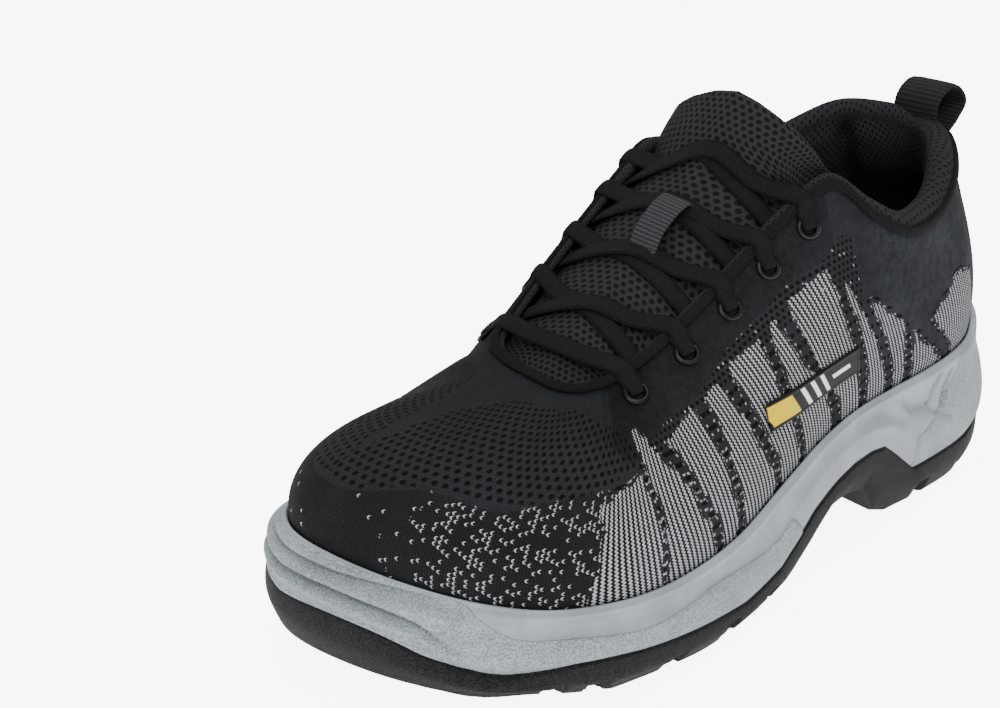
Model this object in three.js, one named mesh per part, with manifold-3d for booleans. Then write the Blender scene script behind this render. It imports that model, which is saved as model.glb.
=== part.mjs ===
// Low safety sneaker for the left foot: knit upper, cup midsole, lugged outsole.
// Millimetres. The toe points along -Y, the outer side along +X, Z is up.
import * as THREE from 'three';
import Module from 'manifold-3d';
import { mergeVertices } from 'three/addons/utils/BufferGeometryUtils.js';

// Named sizes
const LENGTH = 294;          // sole, toe to heel
const BALL = 104;            // upper at the ball, across
const HEEL = 123;            // floor to the top of the heel collar
const WALL = 2.4;            // knit with its lining
const TOE_WALL = 3;          // knit over the toe cap
const PAD = 7;               // foam added to the wall at the collar
const GAP = 0.3;             // clearance where curved pieces meet
const CUP = 4.6;             // thickness of the outsole side wall
const GROOVE = 4.2;          // depth of the tread grooves
const EYELET_OUT = 4.1;      // flange radius
const EYELET_BORE = 2.3;
const LACE_WIDE = 6.4;
const LACE_THICK = 1.5;
const TONGUE_THICK = 5;
const BINDING_WIDE = 4.2;
const KEEPER_WIDE = 10.5;
const KEEPER_THICK = 1.4;
const LOOP_WIDE = 18;
const LOOP_THICK = 1.6;
const ROUND = 64;            // sections round the foot

// A row per section round the foot, from the toe tip along the outer side to the heel and back.
// side and along place its foot at the sole line, rim is the height there.
// topSide, topAlong and top place its upper end on the edge of throat or collar.
// rise and lean shape the wall at the sole, reach and brow (degrees) shape it at the top edge.
// Sides are shares of BALL, along of LENGTH, heights of HEEL.
const SECTIONS = [
  { place: 'toe tip', side: -0.125, along: 0.037, rim: 0.366,
   topSide: -0.038, topAlong: 0.299, top: 0.618, rise: 0.195, lean: 0.010, reach: 0.404, brow: 4, pad: 0 },
  { place: 'toe, outer 1', side: 0.048, along: 0.049, rim: 0.354,
   topSide: 0.029, topAlong: 0.298, top: 0.618, rise: 0.195, lean: 0.014, reach: 0.404, brow: 5, pad: 0 },
  { place: 'toe, outer 2', side: 0.221, along: 0.080, rim: 0.329,
   topSide: 0.087, topAlong: 0.299, top: 0.618, rise: 0.195, lean: 0.019, reach: 0.346, brow: 7, pad: 0 },
  { place: 'toe, outer 3', side: 0.361, along: 0.124, rim: 0.297,
   topSide: 0.130, topAlong: 0.306, top: 0.620, rise: 0.199, lean: 0.029, reach: 0.288, brow: 12, pad: 0 },
  { place: 'toe, outer 4', side: 0.462, along: 0.180, rim: 0.268,
   topSide: 0.163, topAlong: 0.316, top: 0.630, rise: 0.187, lean: 0.038, reach: 0.231, brow: 18, pad: 0 },
  { place: 'ball, outer', side: 0.519, along: 0.255, rim: 0.248,
   topSide: 0.192, topAlong: 0.337, top: 0.650, rise: 0.179, lean: 0.043, reach: 0.173, brow: 26, pad: 0 },
  { place: 'first eyelet, outer', side: 0.524, along: 0.330, rim: 0.243,
   topSide: 0.207, topAlong: 0.374, top: 0.687, rise: 0.194, lean: 0.043, reach: 0.163, brow: 33, pad: 0 },
  { place: 'vamp, outer', side: 0.500, along: 0.412, rim: 0.262,
   topSide: 0.212, topAlong: 0.432, top: 0.756, rise: 0.212, lean: 0.038, reach: 0.173, brow: 40, pad: 0 },
  { place: 'waist, outer 1', side: 0.447, along: 0.500, rim: 0.312,
   topSide: 0.212, topAlong: 0.500, top: 0.846, rise: 0.221, lean: 0.029, reach: 0.192, brow: 48, pad: 0 },
  { place: 'waist, outer 2', side: 0.389, along: 0.588, rim: 0.352,
   topSide: 0.221, topAlong: 0.568, top: 0.939, rise: 0.232, lean: 0.029, reach: 0.212, brow: 56, pad: 0.2 },
  { place: 'facing top, outer', side: 0.361, along: 0.656, rim: 0.374,
   topSide: 0.255, topAlong: 0.626, top: 1.004, rise: 0.231, lean: 0.038, reach: 0.212, brow: 66, pad: 0.35 },
  { place: 'collar, outer 1', side: 0.346, along: 0.724, rim: 0.382,
   topSide: 0.327, topAlong: 0.673, top: 0.911, rise: 0.185, lean: 0.043, reach: 0.173, brow: 80, pad: 0.9 },
  { place: 'collar dip, outer', side: 0.346, along: 0.793, rim: 0.396,
   topSide: 0.356, topAlong: 0.728, top: 0.846, rise: 0.168, lean: 0.048, reach: 0.154, brow: 86, pad: 1 },
  { place: 'collar, outer 2', side: 0.322, along: 0.861, rim: 0.409,
   topSide: 0.317, topAlong: 0.799, top: 0.862, rise: 0.170, lean: 0.048, reach: 0.154, brow: 84, pad: 1 },
  { place: 'heel, outer 1', side: 0.260, along: 0.915, rim: 0.418,
   topSide: 0.250, topAlong: 0.850, top: 0.935, rise: 0.187, lean: 0.029, reach: 0.192, brow: 80, pad: 1 },
  { place: 'heel, outer 2', side: 0.154, along: 0.963, rim: 0.447,
   topSide: 0.130, topAlong: 0.895, top: 0.984, rise: 0.201, lean: 0.019, reach: 0.212, brow: 76, pad: 1 },
  { place: 'heel centre', side: 0.010, along: 0.981, rim: 0.496,
   topSide: 0.000, topAlong: 0.912, top: 1.000, rise: 0.203, lean: 0.014, reach: 0.212, brow: 74, pad: 1 },
  { place: 'heel, inner 2', side: -0.135, along: 0.963, rim: 0.447,
   topSide: -0.130, topAlong: 0.895, top: 1.016, rise: 0.201, lean: 0.019, reach: 0.212, brow: 76, pad: 1 },
  { place: 'heel, inner 1', side: -0.236, along: 0.917, rim: 0.415,
   topSide: -0.255, topAlong: 0.854, top: 1.016, rise: 0.188, lean: 0.029, reach: 0.192, brow: 80, pad: 1 },
  { place: 'collar, inner 2', side: -0.293, along: 0.864, rim: 0.406,
   topSide: -0.337, topAlong: 0.799, top: 0.963, rise: 0.172, lean: 0.048, reach: 0.154, brow: 84, pad: 1 },
  { place: 'collar dip, inner', side: -0.312, along: 0.796, rim: 0.394,
   topSide: -0.365, topAlong: 0.728, top: 0.902, rise: 0.171, lean: 0.048, reach: 0.154, brow: 86, pad: 1 },
  { place: 'collar, inner 1', side: -0.308, along: 0.728, rim: 0.384,
   topSide: -0.394, topAlong: 0.670, top: 0.927, rise: 0.192, lean: 0.043, reach: 0.173, brow: 80, pad: 0.9 },
  { place: 'facing top, inner', side: -0.298, along: 0.660, rim: 0.376,
  topSide: -0.394, topAlong: 0.588, top: 1.008, rise: 0.242, lean: 0.038, reach: 0.212, brow: 66, pad: 0.35 },
  { place: 'waist, inner 2', side: -0.308, along: 0.592, rim: 0.357,
   topSide: -0.361, topAlong: 0.534, top: 0.959, rise: 0.246, lean: 0.029, reach: 0.212, brow: 60, pad: 0.2 },
  { place: 'waist, inner 1', side: -0.337, along: 0.507, rim: 0.325,
   topSide: -0.351, topAlong: 0.483, top: 0.870, rise: 0.233, lean: 0.029, reach: 0.192, brow: 54, pad: 0 },
  { place: 'vamp, inner', side: -0.385, along: 0.425, rim: 0.28,
   topSide: -0.337, topAlong: 0.425, top: 0.772, rise: 0.216, lean: 0.038, reach: 0.173, brow: 46, pad: 0 },
  { place: 'first eyelet, inner', side: -0.438, along: 0.350, rim: 0.252,
   topSide: -0.308, topAlong: 0.371, top: 0.691, rise: 0.195, lean: 0.043, reach: 0.144, brow: 38, pad: 0 },
  { place: 'ball, inner', side: -0.471, along: 0.276, rim: 0.252,
   topSide: -0.260, topAlong: 0.327, top: 0.642, rise: 0.179, lean: 0.043, reach: 0.154, brow: 28, pad: 0 },
  { place: 'toe, inner 4', side: -0.471, along: 0.207, rim: 0.268,
   topSide: -0.212, topAlong: 0.311, top: 0.628, rise: 0.187, lean: 0.038, reach: 0.212, brow: 18, pad: 0 },
  { place: 'toe, inner 3', side: -0.438, along: 0.143, rim: 0.293,
   topSide: -0.163, topAlong: 0.306, top: 0.622, rise: 0.203, lean: 0.029, reach: 0.279, brow: 12, pad: 0 },
  { place: 'toe, inner 2', side: -0.375, along: 0.095, rim: 0.329,
   topSide: -0.120, topAlong: 0.303, top: 0.618, rise: 0.203, lean: 0.019, reach: 0.346, brow: 7, pad: 0 },
  { place: 'toe, inner 1', side: -0.269, along: 0.056, rim: 0.354,
   topSide: -0.077, topAlong: 0.300, top: 0.618, rise: 0.195, lean: 0.014, reach: 0.404, brow: 5, pad: 0 },
];

// A row per place along the sole: ground is the underside, seat the joint of outsole and midsole,
// bed the floor of the cup, split the height of the joint on the side face. Heights are shares of HEEL.
const SOLE = [
  { along: -0.010, ground: 0.1301, seat: 0.1951, bed: 0.2439, split: 0.2358 },
  { along: 0.031, ground: 0.1138, seat: 0.1789, bed: 0.2317, split: 0.2033 },
  { along: 0.085, ground: 0.0911, seat: 0.1512, bed: 0.2073, split: 0.161 },
  { along: 0.139, ground: 0.0569, seat: 0.1154, bed: 0.1789, split: 0.1366 },
  { along: 0.194, ground: 0.0228, seat: 0.0878, bed: 0.1561, split: 0.1366 },
  { along: 0.241, ground: 0, seat: 0.0667, bed: 0.1423, split: 0.1268 },
  { along: 0.330, ground: 0, seat: 0.0618, bed: 0.1382, split: 0.1008 },
  { along: 0.415, ground: 0, seat: 0.0585, bed: 0.1423, split: 0.0829 },
  { along: 0.480, ground: 0, seat: 0.0618, bed: 0.1504, split: 0.0959 },
  { along: 0.514, ground: 0.0098, seat: 0.0854, bed: 0.1626, split: 0.1333 },
  { along: 0.554, ground: 0.0488, seat: 0.1179, bed: 0.1789, split: 0.1821 },
  { along: 0.602, ground: 0.122, seat: 0.1569, bed: 0.2016, split: 0.2163 },
  { along: 0.643, ground: 0.1301, seat: 0.165, bed: 0.2154, split: 0.2358 },
  { along: 0.677, ground: 0.1179, seat: 0.1545, bed: 0.2236, split: 0.239 },
  { along: 0.704, ground: 0.0244, seat: 0.1016, bed: 0.2276, split: 0.2293 },
  { along: 0.731, ground: 0, seat: 0.0813, bed: 0.2317, split: 0.1821 },
  { along: 0.765, ground: 0, seat: 0.0732, bed: 0.2358, split: 0.1187 },
  { along: 0.806, ground: 0, seat: 0.0732, bed: 0.2358, split: 0.1203 },
  { along: 0.874, ground: 0, seat: 0.0732, bed: 0.2398, split: 0.126 },
  { along: 0.935, ground: 0.0024, seat: 0.0772, bed: 0.2439, split: 0.1423 },
  { along: 0.976, ground: 0.0244, seat: 0.0976, bed: 0.248, split: 0.1626 },
  { along: 1.010, ground: 0.0569, seat: 0.1138, bed: 0.252, split: 0.1829 },
];

// Side face of the midsole from the joint up to the lip. Offsets in mm outside the sole line:
// toe is the face with three rolls, flank the face along the sides, heel the face behind.
const FACE = [
  { up: 0, toe: 5.6, flank: 4.2, heel: 6.2 },
  { up: 0.12, toe: 7.4, flank: 4.6, heel: 7.4 },
  { up: 0.26, toe: 7.4, flank: 4.4, heel: 7.4 },
  { up: 0.36, toe: 5.4, flank: 4, heel: 6.8 },
  { up: 0.46, toe: 6.7, flank: 3.6, heel: 6 },
  { up: 0.56, toe: 6.3, flank: 2.6, heel: 5 },
  { up: 0.65, toe: 4.3, flank: 1.9, heel: 4 },
  { up: 0.74, toe: 5.2, flank: 1.7, heel: 3.3 },
  { up: 0.88, toe: 4.4, flank: 2.6, heel: 2.8 },
  { up: 0.96, toe: 3, flank: 3, heel: 2.6 },
  { up: 1, toe: 1.8, flank: 1.8, heel: 1.8 },
];

// Cross grooves of the tread: place along the sole (share of LENGTH) and width (mm).
const CROSS = [
  { along: 0.178, wide: 3 }, { along: 0.222, wide: 3.5 }, { along: 0.311, wide: 4 },
  { along: 0.396, wide: 4 }, { along: 0.471, wide: 4 },
  { along: 0.79, wide: 4 }, { along: 0.886, wide: 4 },
];

// Tongue: a row per place along it. ridge is its middle (side, along, high). The edges tuck under the
// facings at steps outer and inner of SECTIONS. The rows of TIP stand free above them; there outer and
// inner are how far the edge lies to the side, back and down from the ridge.
// Sides are shares of BALL, along of LENGTH, heights of HEEL.
const TUCK = [
  { outer: 2.2, inner: 29.8, side: -0.0288, along: 0.2687, high: 0.5772 },
  { outer: 3.6, inner: 28.4, side: -0.0288, along: 0.3061, high: 0.5935 },
  { outer: 5.2, inner: 26.9, side: -0.0385, along: 0.3571, high: 0.6789 },
  { outer: 6.3, inner: 25.7, side: -0.0529, along: 0.4082, high: 0.7561 },
  { outer: 7.4, inner: 24.6, side: -0.0625, along: 0.4626, high: 0.8455 },
  { outer: 8.5, inner: 23.5, side: -0.0673, along: 0.5136, high: 0.939 },
  { outer: 9.3, inner: 22.7, side: -0.0673, along: 0.5476, high: 1.0163 },
];
const TIP = [
  { side: -0.0673, along: 0.5748, high: 1.0976, outer: [0.2692, 0.0442, 0.0919],
    inner: [0.274, 0.0034, 0.061] },
  { side: -0.0673, along: 0.5952, high: 1.1626, outer: [0.2981, 0.0374, 0.1098],
    inner: [0.2788, 0, 0.0813] },
  { side: -0.0769, along: 0.6037, high: 1.1911, outer: [0.25, 0.0238, 0.0894],
    inner: [0.2404, -0.0068, 0.0732] },
];

// Eyelets: step of SECTIONS, outer and inner, from the toe end up; back is the way from the edge (mm)
const EYELETS = { outer: [5.38, 6.66, 7.6, 8.42, 9.32], inner: [26.6, 25.35, 24.45, 23.6, 22.75], back: 9 };

const V = (x, y, z) => new THREE.Vector3(x, y, z);
const mix = (a, b, t) => a + (b - a) * t;
const ease = (t) => { const c = Math.min(1, Math.max(0, t)); return c * c * (3 - 2 * c); };
const curve = (p0, p1, p2, p3, t) => 0.5 * ((2 * p1) + (p2 - p0) * t
  + (2 * p0 - 5 * p1 + 4 * p2 - p3) * t * t + (3 * p1 - p0 - 3 * p2 + p3) * t * t * t);

// Column of the closed table SECTIONS at step u (0 to its row count)
function section(name, u) {
  const n = SECTIONS.length, i = Math.floor(u), at = (k) => SECTIONS[((k % n) + n) % n][name];
  return curve(at(i - 1), at(i), at(i + 1), at(i + 2), u - i);
}

// Value of a column in a table that runs by its column key
function lookup(table, key, x, name) {
  let i = table.findIndex((row) => row[key] > x);
  if (i < 0) return table[table.length - 1][name];
  if (i === 0) return table[0][name];
  const a = table[i - 1], b = table[i];
  return mix(a[name], b[name], (x - a[key]) / (b[key] - a[key]));
}
const sole = (name, y) => lookup(SOLE, 'along', y / LENGTH + 0.5, name) * HEEL;

// The two closed lines: the sole line and the top edge, with their outward directions in plan
const spot = (row) => V(row.side * BALL, (row.along - 0.5) * LENGTH, row.high * HEEL);
const lineAt = (side, along, high) => (u) => (
  spot({ side: section(side, u), along: section(along, u), high: section(high, u) }));
const foot = lineAt('side', 'along', 'rim');
const edge = lineAt('topSide', 'topAlong', 'top');
function outward(line, u) {
  const a = line(u - 0.35), b = line(u + 0.35);
  return V(b.y - a.y, a.x - b.x, 0).normalize();
}

// Outer face of the upper: a cubic arc from the sole line (t = 0) to the top edge (t = 1)
function arc(u, t) {
  const a = foot(u), d = edge(u), brow = THREE.MathUtils.degToRad(section('brow', u));
  const reach = section('reach', u) * BALL;
  const b = a.clone().addScaledVector(outward(foot, u), section('lean', u) * BALL);
  b.z += section('rise', u) * HEEL;
  const c = d.clone().addScaledVector(outward(edge, u), reach * Math.cos(brow));
  c.z -= reach * Math.sin(brow);
  const s = 1 - t;
  return V(0, 0, 0).addScaledVector(a, s * s * s).addScaledVector(b, 3 * s * s * t)
    .addScaledVector(c, 3 * s * t * t).addScaledVector(d, t * t * t);
}
function across(u, t) {
  const e = 0.02, du = arc(u + e, t).sub(arc(u - e, t));
  const dt = arc(u, Math.min(1, t + e)).sub(arc(u, Math.max(0, t - e)));
  return du.cross(dt).normalize();
}
const upperAt = (u, t, out) => arc(u, t).addScaledVector(across(u, t), out);

// Closed mesh from rings of equal length; ring order runs so that faces point out
function solid(rings, ends) {
  const pos = [], idx = [], n = rings[0].length;
  for (const ring of rings) for (const p of ring) pos.push(p.x, p.y, p.z);
  const span = (a, b) => Math.hypot(...[0, 1, 2].map((k) => pos[3 * a + k] - pos[3 * b + k]));
  const quad = (a, b, c, d) => {
    if (span(a, c) <= span(b, d)) idx.push(a, b, c, a, c, d);
    else idx.push(a, b, d, b, c, d);
  };
  const last = ends === 'ring' ? rings.length : rings.length - 1;
  for (let r = 0; r < last; r++) {
    const r2 = (r + 1) % rings.length;
    for (let i = 0; i < n; i++) quad(r * n + i, r * n + (i + 1) % n, r2 * n + (i + 1) % n, r2 * n + i);
  }
  if (ends !== 'ring') {
    floor(pos, idx, 0, n, true, ends);
    floor(pos, idx, (rings.length - 1) * n, n, false, ends);
  }
  const g = new THREE.BufferGeometry();
  g.setAttribute('position', new THREE.Float32BufferAttribute(pos, 3));
  g.setIndex(idx);
  return g;
}

// Closes a ring round the foot by strips from each outer point to its partner on the inner side
function floor(pos, idx, start, n, down, steps) {
  const rows = [], at = (k) => V(pos[3 * k], pos[3 * k + 1], pos[3 * k + 2]);
  for (let i = 1; i < n / 2; i++) {
    const a = start + i, b = start + n - i, row = [a];
    for (let s = 1; s < steps; s++) {
      const p = at(a).lerp(at(b), s / steps);
      row.push(pos.length / 3);
      pos.push(p.x, p.y, p.z);
    }
    rows.push([...row, b]);
  }
  const tri = (a, b, c) => (down ? idx.push(a, c, b) : idx.push(a, b, c));
  for (let i = 0; i + 1 < rows.length; i++) {
    for (let s = 0; s < steps; s++) {
      tri(rows[i][s], rows[i + 1][s], rows[i + 1][s + 1]);
      tri(rows[i][s], rows[i + 1][s + 1], rows[i][s + 1]);
    }
  }
  const first = rows[0], end = rows[rows.length - 1];
  for (let s = 0; s < steps; s++) {
    tri(start, first[s], first[s + 1]);
    tri(start + n / 2, end[s + 1], end[s]);
  }
}

// Ring of the sole: offset outside the sole line at height z(u, y)
function soleRing(offset, height) {
  const ring = [];
  for (let i = 0; i < ROUND; i++) {
    const u = i / ROUND * SECTIONS.length;
    const p = foot(u).addScaledVector(outward(foot, u), typeof offset === 'function' ? offset(u) : offset);
    p.z = height(p.y, u);
    ring.push(p);
  }
  return ring;
}

// Band swept along a line of points with a width direction at each point
function band(points, wide, thick, sideways) {
  const rings = points.map((p, i) => {
    const next = points[Math.min(i + 1, points.length - 1)];
    const along = next.clone().sub(points[Math.max(i - 1, 0)]).normalize();
    const w = sideways(i, along);
    w.addScaledVector(along, -w.dot(along)).normalize();
    const up = along.clone().cross(w).normalize();
    return [[-1, -1], [1, -1], [1, 1], [-1, 1]].map(([a, b]) => p.clone()
      .addScaledVector(w, a * wide / 2).addScaledVector(up, b * thick / 2));
  });
  const pos = [], idx = [];
  for (const ring of rings) for (const p of ring) pos.push(p.x, p.y, p.z);
  const m = rings.length - 1;
  for (let r = 0; r < m; r++) {
    for (let i = 0; i < 4; i++) {
      const a = r * 4 + i, b = r * 4 + (i + 1) % 4;
      idx.push(a, b, b + 4, a, b + 4, a + 4);
    }
  }
  idx.push(0, 2, 1, 0, 3, 2, m * 4, m * 4 + 1, m * 4 + 2, m * 4, m * 4 + 2, m * 4 + 3);
  const g = new THREE.BufferGeometry();
  g.setAttribute('position', new THREE.Float32BufferAttribute(pos, 3));
  g.setIndex(idx);
  return g;
}

const wasm = await Module();
wasm.setup();
function toManifold(geometry) {
  const g = geometry.clone();
  g.deleteAttribute('normal');
  g.deleteAttribute('uv');
  const m = mergeVertices(g, 1e-4);
  const raw = new wasm.Mesh({
    numProp: 3,
    vertProperties: new Float32Array(m.attributes.position.array),
    triVerts: new Uint32Array(m.index.array),
  });
  return new wasm.Manifold(raw);
}
function fromManifold(body) {
  const mesh = body.getMesh();
  const g = new THREE.BufferGeometry();
  g.setAttribute('position', new THREE.Float32BufferAttribute(mesh.vertProperties, 3));
  g.setIndex(Array.from(mesh.triVerts));
  return g;
}
const cut = (body, tools) => tools.reduce((rest, tool) => rest.subtract(tool), body);
function box(x0, x1, y0, y1, z0, z1) {
  return wasm.Manifold.cube([x1 - x0, y1 - y0, z1 - z0]).translate([x0, y0, z0]);
}

// Upper: outer face, rounded top edge, inner face, open below
const isToe = (u) => 1 - ease((Math.min(u, SECTIONS.length - u) - 2.2) / 2.6);
const wallAt = (u, t) => mix(WALL, TOE_WALL, isToe(u)) + PAD * section('pad', u) * ease((t - 0.42) / 0.4);
function below(u, share, out) {
  const p = foot(u), bottom = sole('bed', p.y) + GAP;
  p.addScaledVector(outward(foot, u), out - 1.6 * share * share);
  p.z = mix(p.z, bottom, share);
  return p;
}
function upperSolid() {
  const outer = [0.07, 0.16, 0.26, 0.37, 0.48, 0.59, 0.7, 0.81, 0.91, 1];
  const inner = [0.9, 0.74, 0.56, 0.38, 0.2, 0.08];
  const each = (make) => Array.from({ length: ROUND }, (_, i) => make(i / ROUND * SECTIONS.length));
  const rings = [each((u) => below(u, 1, 0)), each((u) => below(u, 0.5, 0)), each((u) => foot(u))];
  for (const t of outer) rings.push(each((u) => arc(u, t)));
  for (const angle of [50, 130]) {
    rings.push(each((u) => {
      const w = wallAt(u, 1), n = across(u, 1), r = THREE.MathUtils.degToRad(angle);
      const up = arc(u, 1).sub(arc(u, 0.98)).normalize();
      return arc(u, 1).addScaledVector(n, w / 2 * (Math.cos(r) - 1))
        .addScaledVector(up, w / 2 * Math.sin(r));
    }));
  }
  rings.push(each((u) => upperAt(u, 1, -wallAt(u, 1))));
  for (const t of inner) rings.push(each((u) => upperAt(u, t, -wallAt(u, t))));
  rings.push(each((u) => below(u, 0, -wallAt(u, 0))), each((u) => below(u, 0.5, -wallAt(u, 0))));
  rings.push(each((u) => below(u, 1, -wallAt(u, 0))));
  return solid(rings, 'ring');
}

// Eyelet axes: centre on the outer face and its direction
function eyeletAt(u) {
  const len = arc(u, 0.9).distanceTo(arc(u, 1)) / 0.1;
  const t = 1 - EYELETS.back / len;
  return { p: arc(u, t), n: across(u, t) };
}
function placed(geometry, p, n) {
  return geometry.applyMatrix4(new THREE.Matrix4().makeRotationFromQuaternion(
    new THREE.Quaternion().setFromUnitVectors(V(0, 0, 1), n)).setPosition(p));
}
function eyelet(u) {
  const { p, n } = eyeletAt(u);
  const b = EYELET_BORE, o = EYELET_OUT, w = WALL;
  const profile = [[b, -w - 1.2], [b + 0.5, -w - 1.2], [b + 0.5, GAP], [o, GAP + 0.2],
    [o - 0.5, GAP + 1], [b, GAP + 0.9], [b, -w - 1.2]];
  const ring = new THREE.LatheGeometry(profile.map(([x, y]) => new THREE.Vector2(x, y)), 10);
  ring.rotateX(Math.PI / 2);
  return placed(ring, p, n);
}

function sheetSolid(top, bottom) {
  const rows = top.length, cols = top[0].length, pos = [], idx = [];
  for (const face of [top, bottom]) for (const row of face) for (const p of row) pos.push(p.x, p.y, p.z);
  const a = (r, c) => r * cols + c, b = (r, c) => rows * cols + r * cols + c;
  const quad = (p, q, r, s) => idx.push(p, q, r, p, r, s);
  for (let r = 0; r + 1 < rows; r++) {
    for (let c = 0; c + 1 < cols; c++) {
      quad(a(r, c), a(r, c + 1), a(r + 1, c + 1), a(r + 1, c));
      quad(b(r, c), b(r + 1, c), b(r + 1, c + 1), b(r, c + 1));
    }
    quad(a(r, 0), a(r + 1, 0), b(r + 1, 0), b(r, 0));
    quad(a(r + 1, cols - 1), a(r, cols - 1), b(r, cols - 1), b(r + 1, cols - 1));
  }
  for (let c = 0; c + 1 < cols; c++) {
    quad(a(0, c + 1), a(0, c), b(0, c), b(0, c + 1));
    quad(a(rows - 1, c), a(rows - 1, c + 1), b(rows - 1, c + 1), b(rows - 1, c));
  }
  const g = new THREE.BufferGeometry();
  g.setAttribute('position', new THREE.Float32BufferAttribute(pos, 3));
  g.setIndex(idx);
  return g;
}

// Tongue face: row v of TUCK and TIP, w from the inner edge (-1) to the outer (1), deep below its face
function tongueRow(k) {
  if (k < TUCK.length) {
    const row = TUCK[k], under = (u, t) => upperAt(u, t, -wallAt(u, t) - 2.1);
    return [under(row.inner, 0.84), under(row.inner, 0.97), spot(row),
      under(row.outer, 0.97), under(row.outer, 0.84)];
  }
  const row = TIP[k - TUCK.length];
  return [-1, -0.72, 0, 0.72, 1].map((w) => {
    const [out, back, fall] = w < 0 ? row.inner : row.outer;
    return spot(row).add(V(w * out * BALL, back * w * w * LENGTH, -fall * w * w * HEEL));
  });
}
const TONGUE_ROWS = Array.from({ length: TUCK.length + TIP.length }, (_, k) => k);
function tongueFace(v, w) {
  const last = TONGUE_ROWS.length - 1, k = Math.min(Math.floor(v), last - 1);
  const line = (i) => new THREE.CatmullRomCurve3(tongueRow(Math.min(Math.max(i, 0), last)));
  const row = (i) => line(i).getPoint((w + 1) / 2);
  const [a, b, c, d] = [row(k - 1), row(k), row(k + 1), row(k + 2)];
  const at = (axis) => curve(a[axis], b[axis], c[axis], d[axis], v - k);
  return V(at('x'), at('y'), at('z'));
}
function tongueAt(v, w, deep) {
  const last = TONGUE_ROWS.length - 1, e = 0.05;
  const dv = tongueFace(Math.min(v + e, last), w).sub(tongueFace(Math.max(v - e, 0), w));
  const dw = tongueFace(v, Math.min(w + e, 1)).sub(tongueFace(v, Math.max(w - e, -1)));
  return tongueFace(v, w).addScaledVector(dw.cross(dv).normalize(), -deep);
}

function tongueSolid() {
  const rows = 15, cols = 9, top = [], bottom = [];
  const thick = (v, w) => TONGUE_THICK * (1 - 0.6 * Math.abs(w) ** 4) * (1 - 0.5 * ease(v - 8));
  for (let r = 0; r < rows; r++) {
    const v = r / (rows - 1) * (TONGUE_ROWS.length - 1);
    const line = (deep) => Array.from({ length: cols }, (_, c) => {
      const w = 2 * c / (cols - 1) - 1;
      return tongueAt(v, w, deep * thick(v, w));
    });
    top.push(line(0));
    bottom.push(line(1));
  }
  return sheetSolid(top, bottom);
}

// Midsole: joint with the outsole, side face, lip, cup wall and floor of the cup
function toeAt(u) {
  const n = SECTIONS.length, k = u > n / 2 ? (n - u) * 0.8 : u;
  return 1 - ease((k - 2.6) / 1.8);
}
function faceAt(row, u) {
  const side = mix(row.flank, row.toe, toeAt(u));
  return mix(side, row.heel, ease((foot(u).y / LENGTH - 0.3) / 0.14));
}
function midsoleSolid() {
  const rings = [];
  rings.push(soleRing((u) => faceAt(FACE[0], u) - CUP - 1.2 - 1.5 * GAP, (y) => sole('seat', y) + GAP));
  for (const row of FACE) {
    rings.push(soleRing((u) => faceAt(row, u),
      (y, u) => mix(sole('split', y) + GAP, section('rim', u) * HEEL, row.up)));
  }
  rings.push(soleRing(GAP + 0.5, (y, u) => section('rim', u) * HEEL + 0.4));
  rings.push(soleRing(GAP, (y, u) => section('rim', u) * HEEL - 0.4));
  rings.push(soleRing(GAP - 0.4, (y, u) => mix(section('rim', u) * HEEL, sole('bed', y), 0.5)));
  rings.push(soleRing(GAP - 1.2, (y) => sole('bed', y)));
  return solid(rings, 4);
}

// Rounding of the tread's edge beside the ball, 0 to 1
function ballEdge(u) {
  const n = SECTIONS.length, k = Math.min(u, n - u);
  return ease((k - 2.6) / 1.2) * (1 - ease((k - 5) / 1.6));
}

// Outsole: tread, side wall up to the joint, bowl for the midsole; grooves cut across and along
function outsoleSolid() {
  const face = (u) => faceAt(FACE[0], u);
  const rings = [
    soleRing((u) => face(u) - 4 + 2.4 * toeAt(u) - 4.5 * ballEdge(u), (y) => sole('ground', y)),
    soleRing((u) => face(u) - 1.5 + 2 * toeAt(u) - 1.4 * ballEdge(u),
      (y, u) => sole('ground', y) + 2.4 + 2 * ballEdge(u)),
    soleRing((u) => face(u) + 0.9 + 1.6 * toeAt(u), (y) => mix(sole('ground', y), sole('split', y), 0.55)),
    soleRing((u) => face(u) + 0.9 + 0.9 * toeAt(u), (y) => sole('split', y) - 1.2),
    soleRing((u) => face(u), (y) => sole('split', y)),
    soleRing((u) => face(u) - CUP - 1.2, (y) => sole('seat', y)),
  ];
  const body = toManifold(solid(rings, 4));
  const grooves = CROSS.map(({ along, wide }) => {
    const y = (along - 0.5) * LENGTH;
    return box(-90, 90, y - wide / 2, y + wide / 2, -2, GROOVE + sole('ground', y));
  });
  for (const x of [-0.173 * BALL, 0.192 * BALL]) {
    grooves.push(box(x - 2, x + 2, -0.33 * LENGTH, -0.04 * LENGTH, -2, GROOVE));
  }
  grooves.push(box(0, 4, 0.25 * LENGTH, 0.5 * LENGTH, -2, GROOVE));
  return fromManifold(cut(body, grooves));
}

function insoleSolid() {
  const inset = -(TOE_WALL + 2), bed = (y) => sole('bed', y) + GAP;
  return solid([
    soleRing(inset - 1.8, bed),
    soleRing(inset, (y) => bed(y) + 1.6),
    soleRing(inset, (y) => bed(y) + 5.2),
    soleRing(inset - 2.5, (y) => bed(y) + 4.4),
  ], 4);
}

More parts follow.
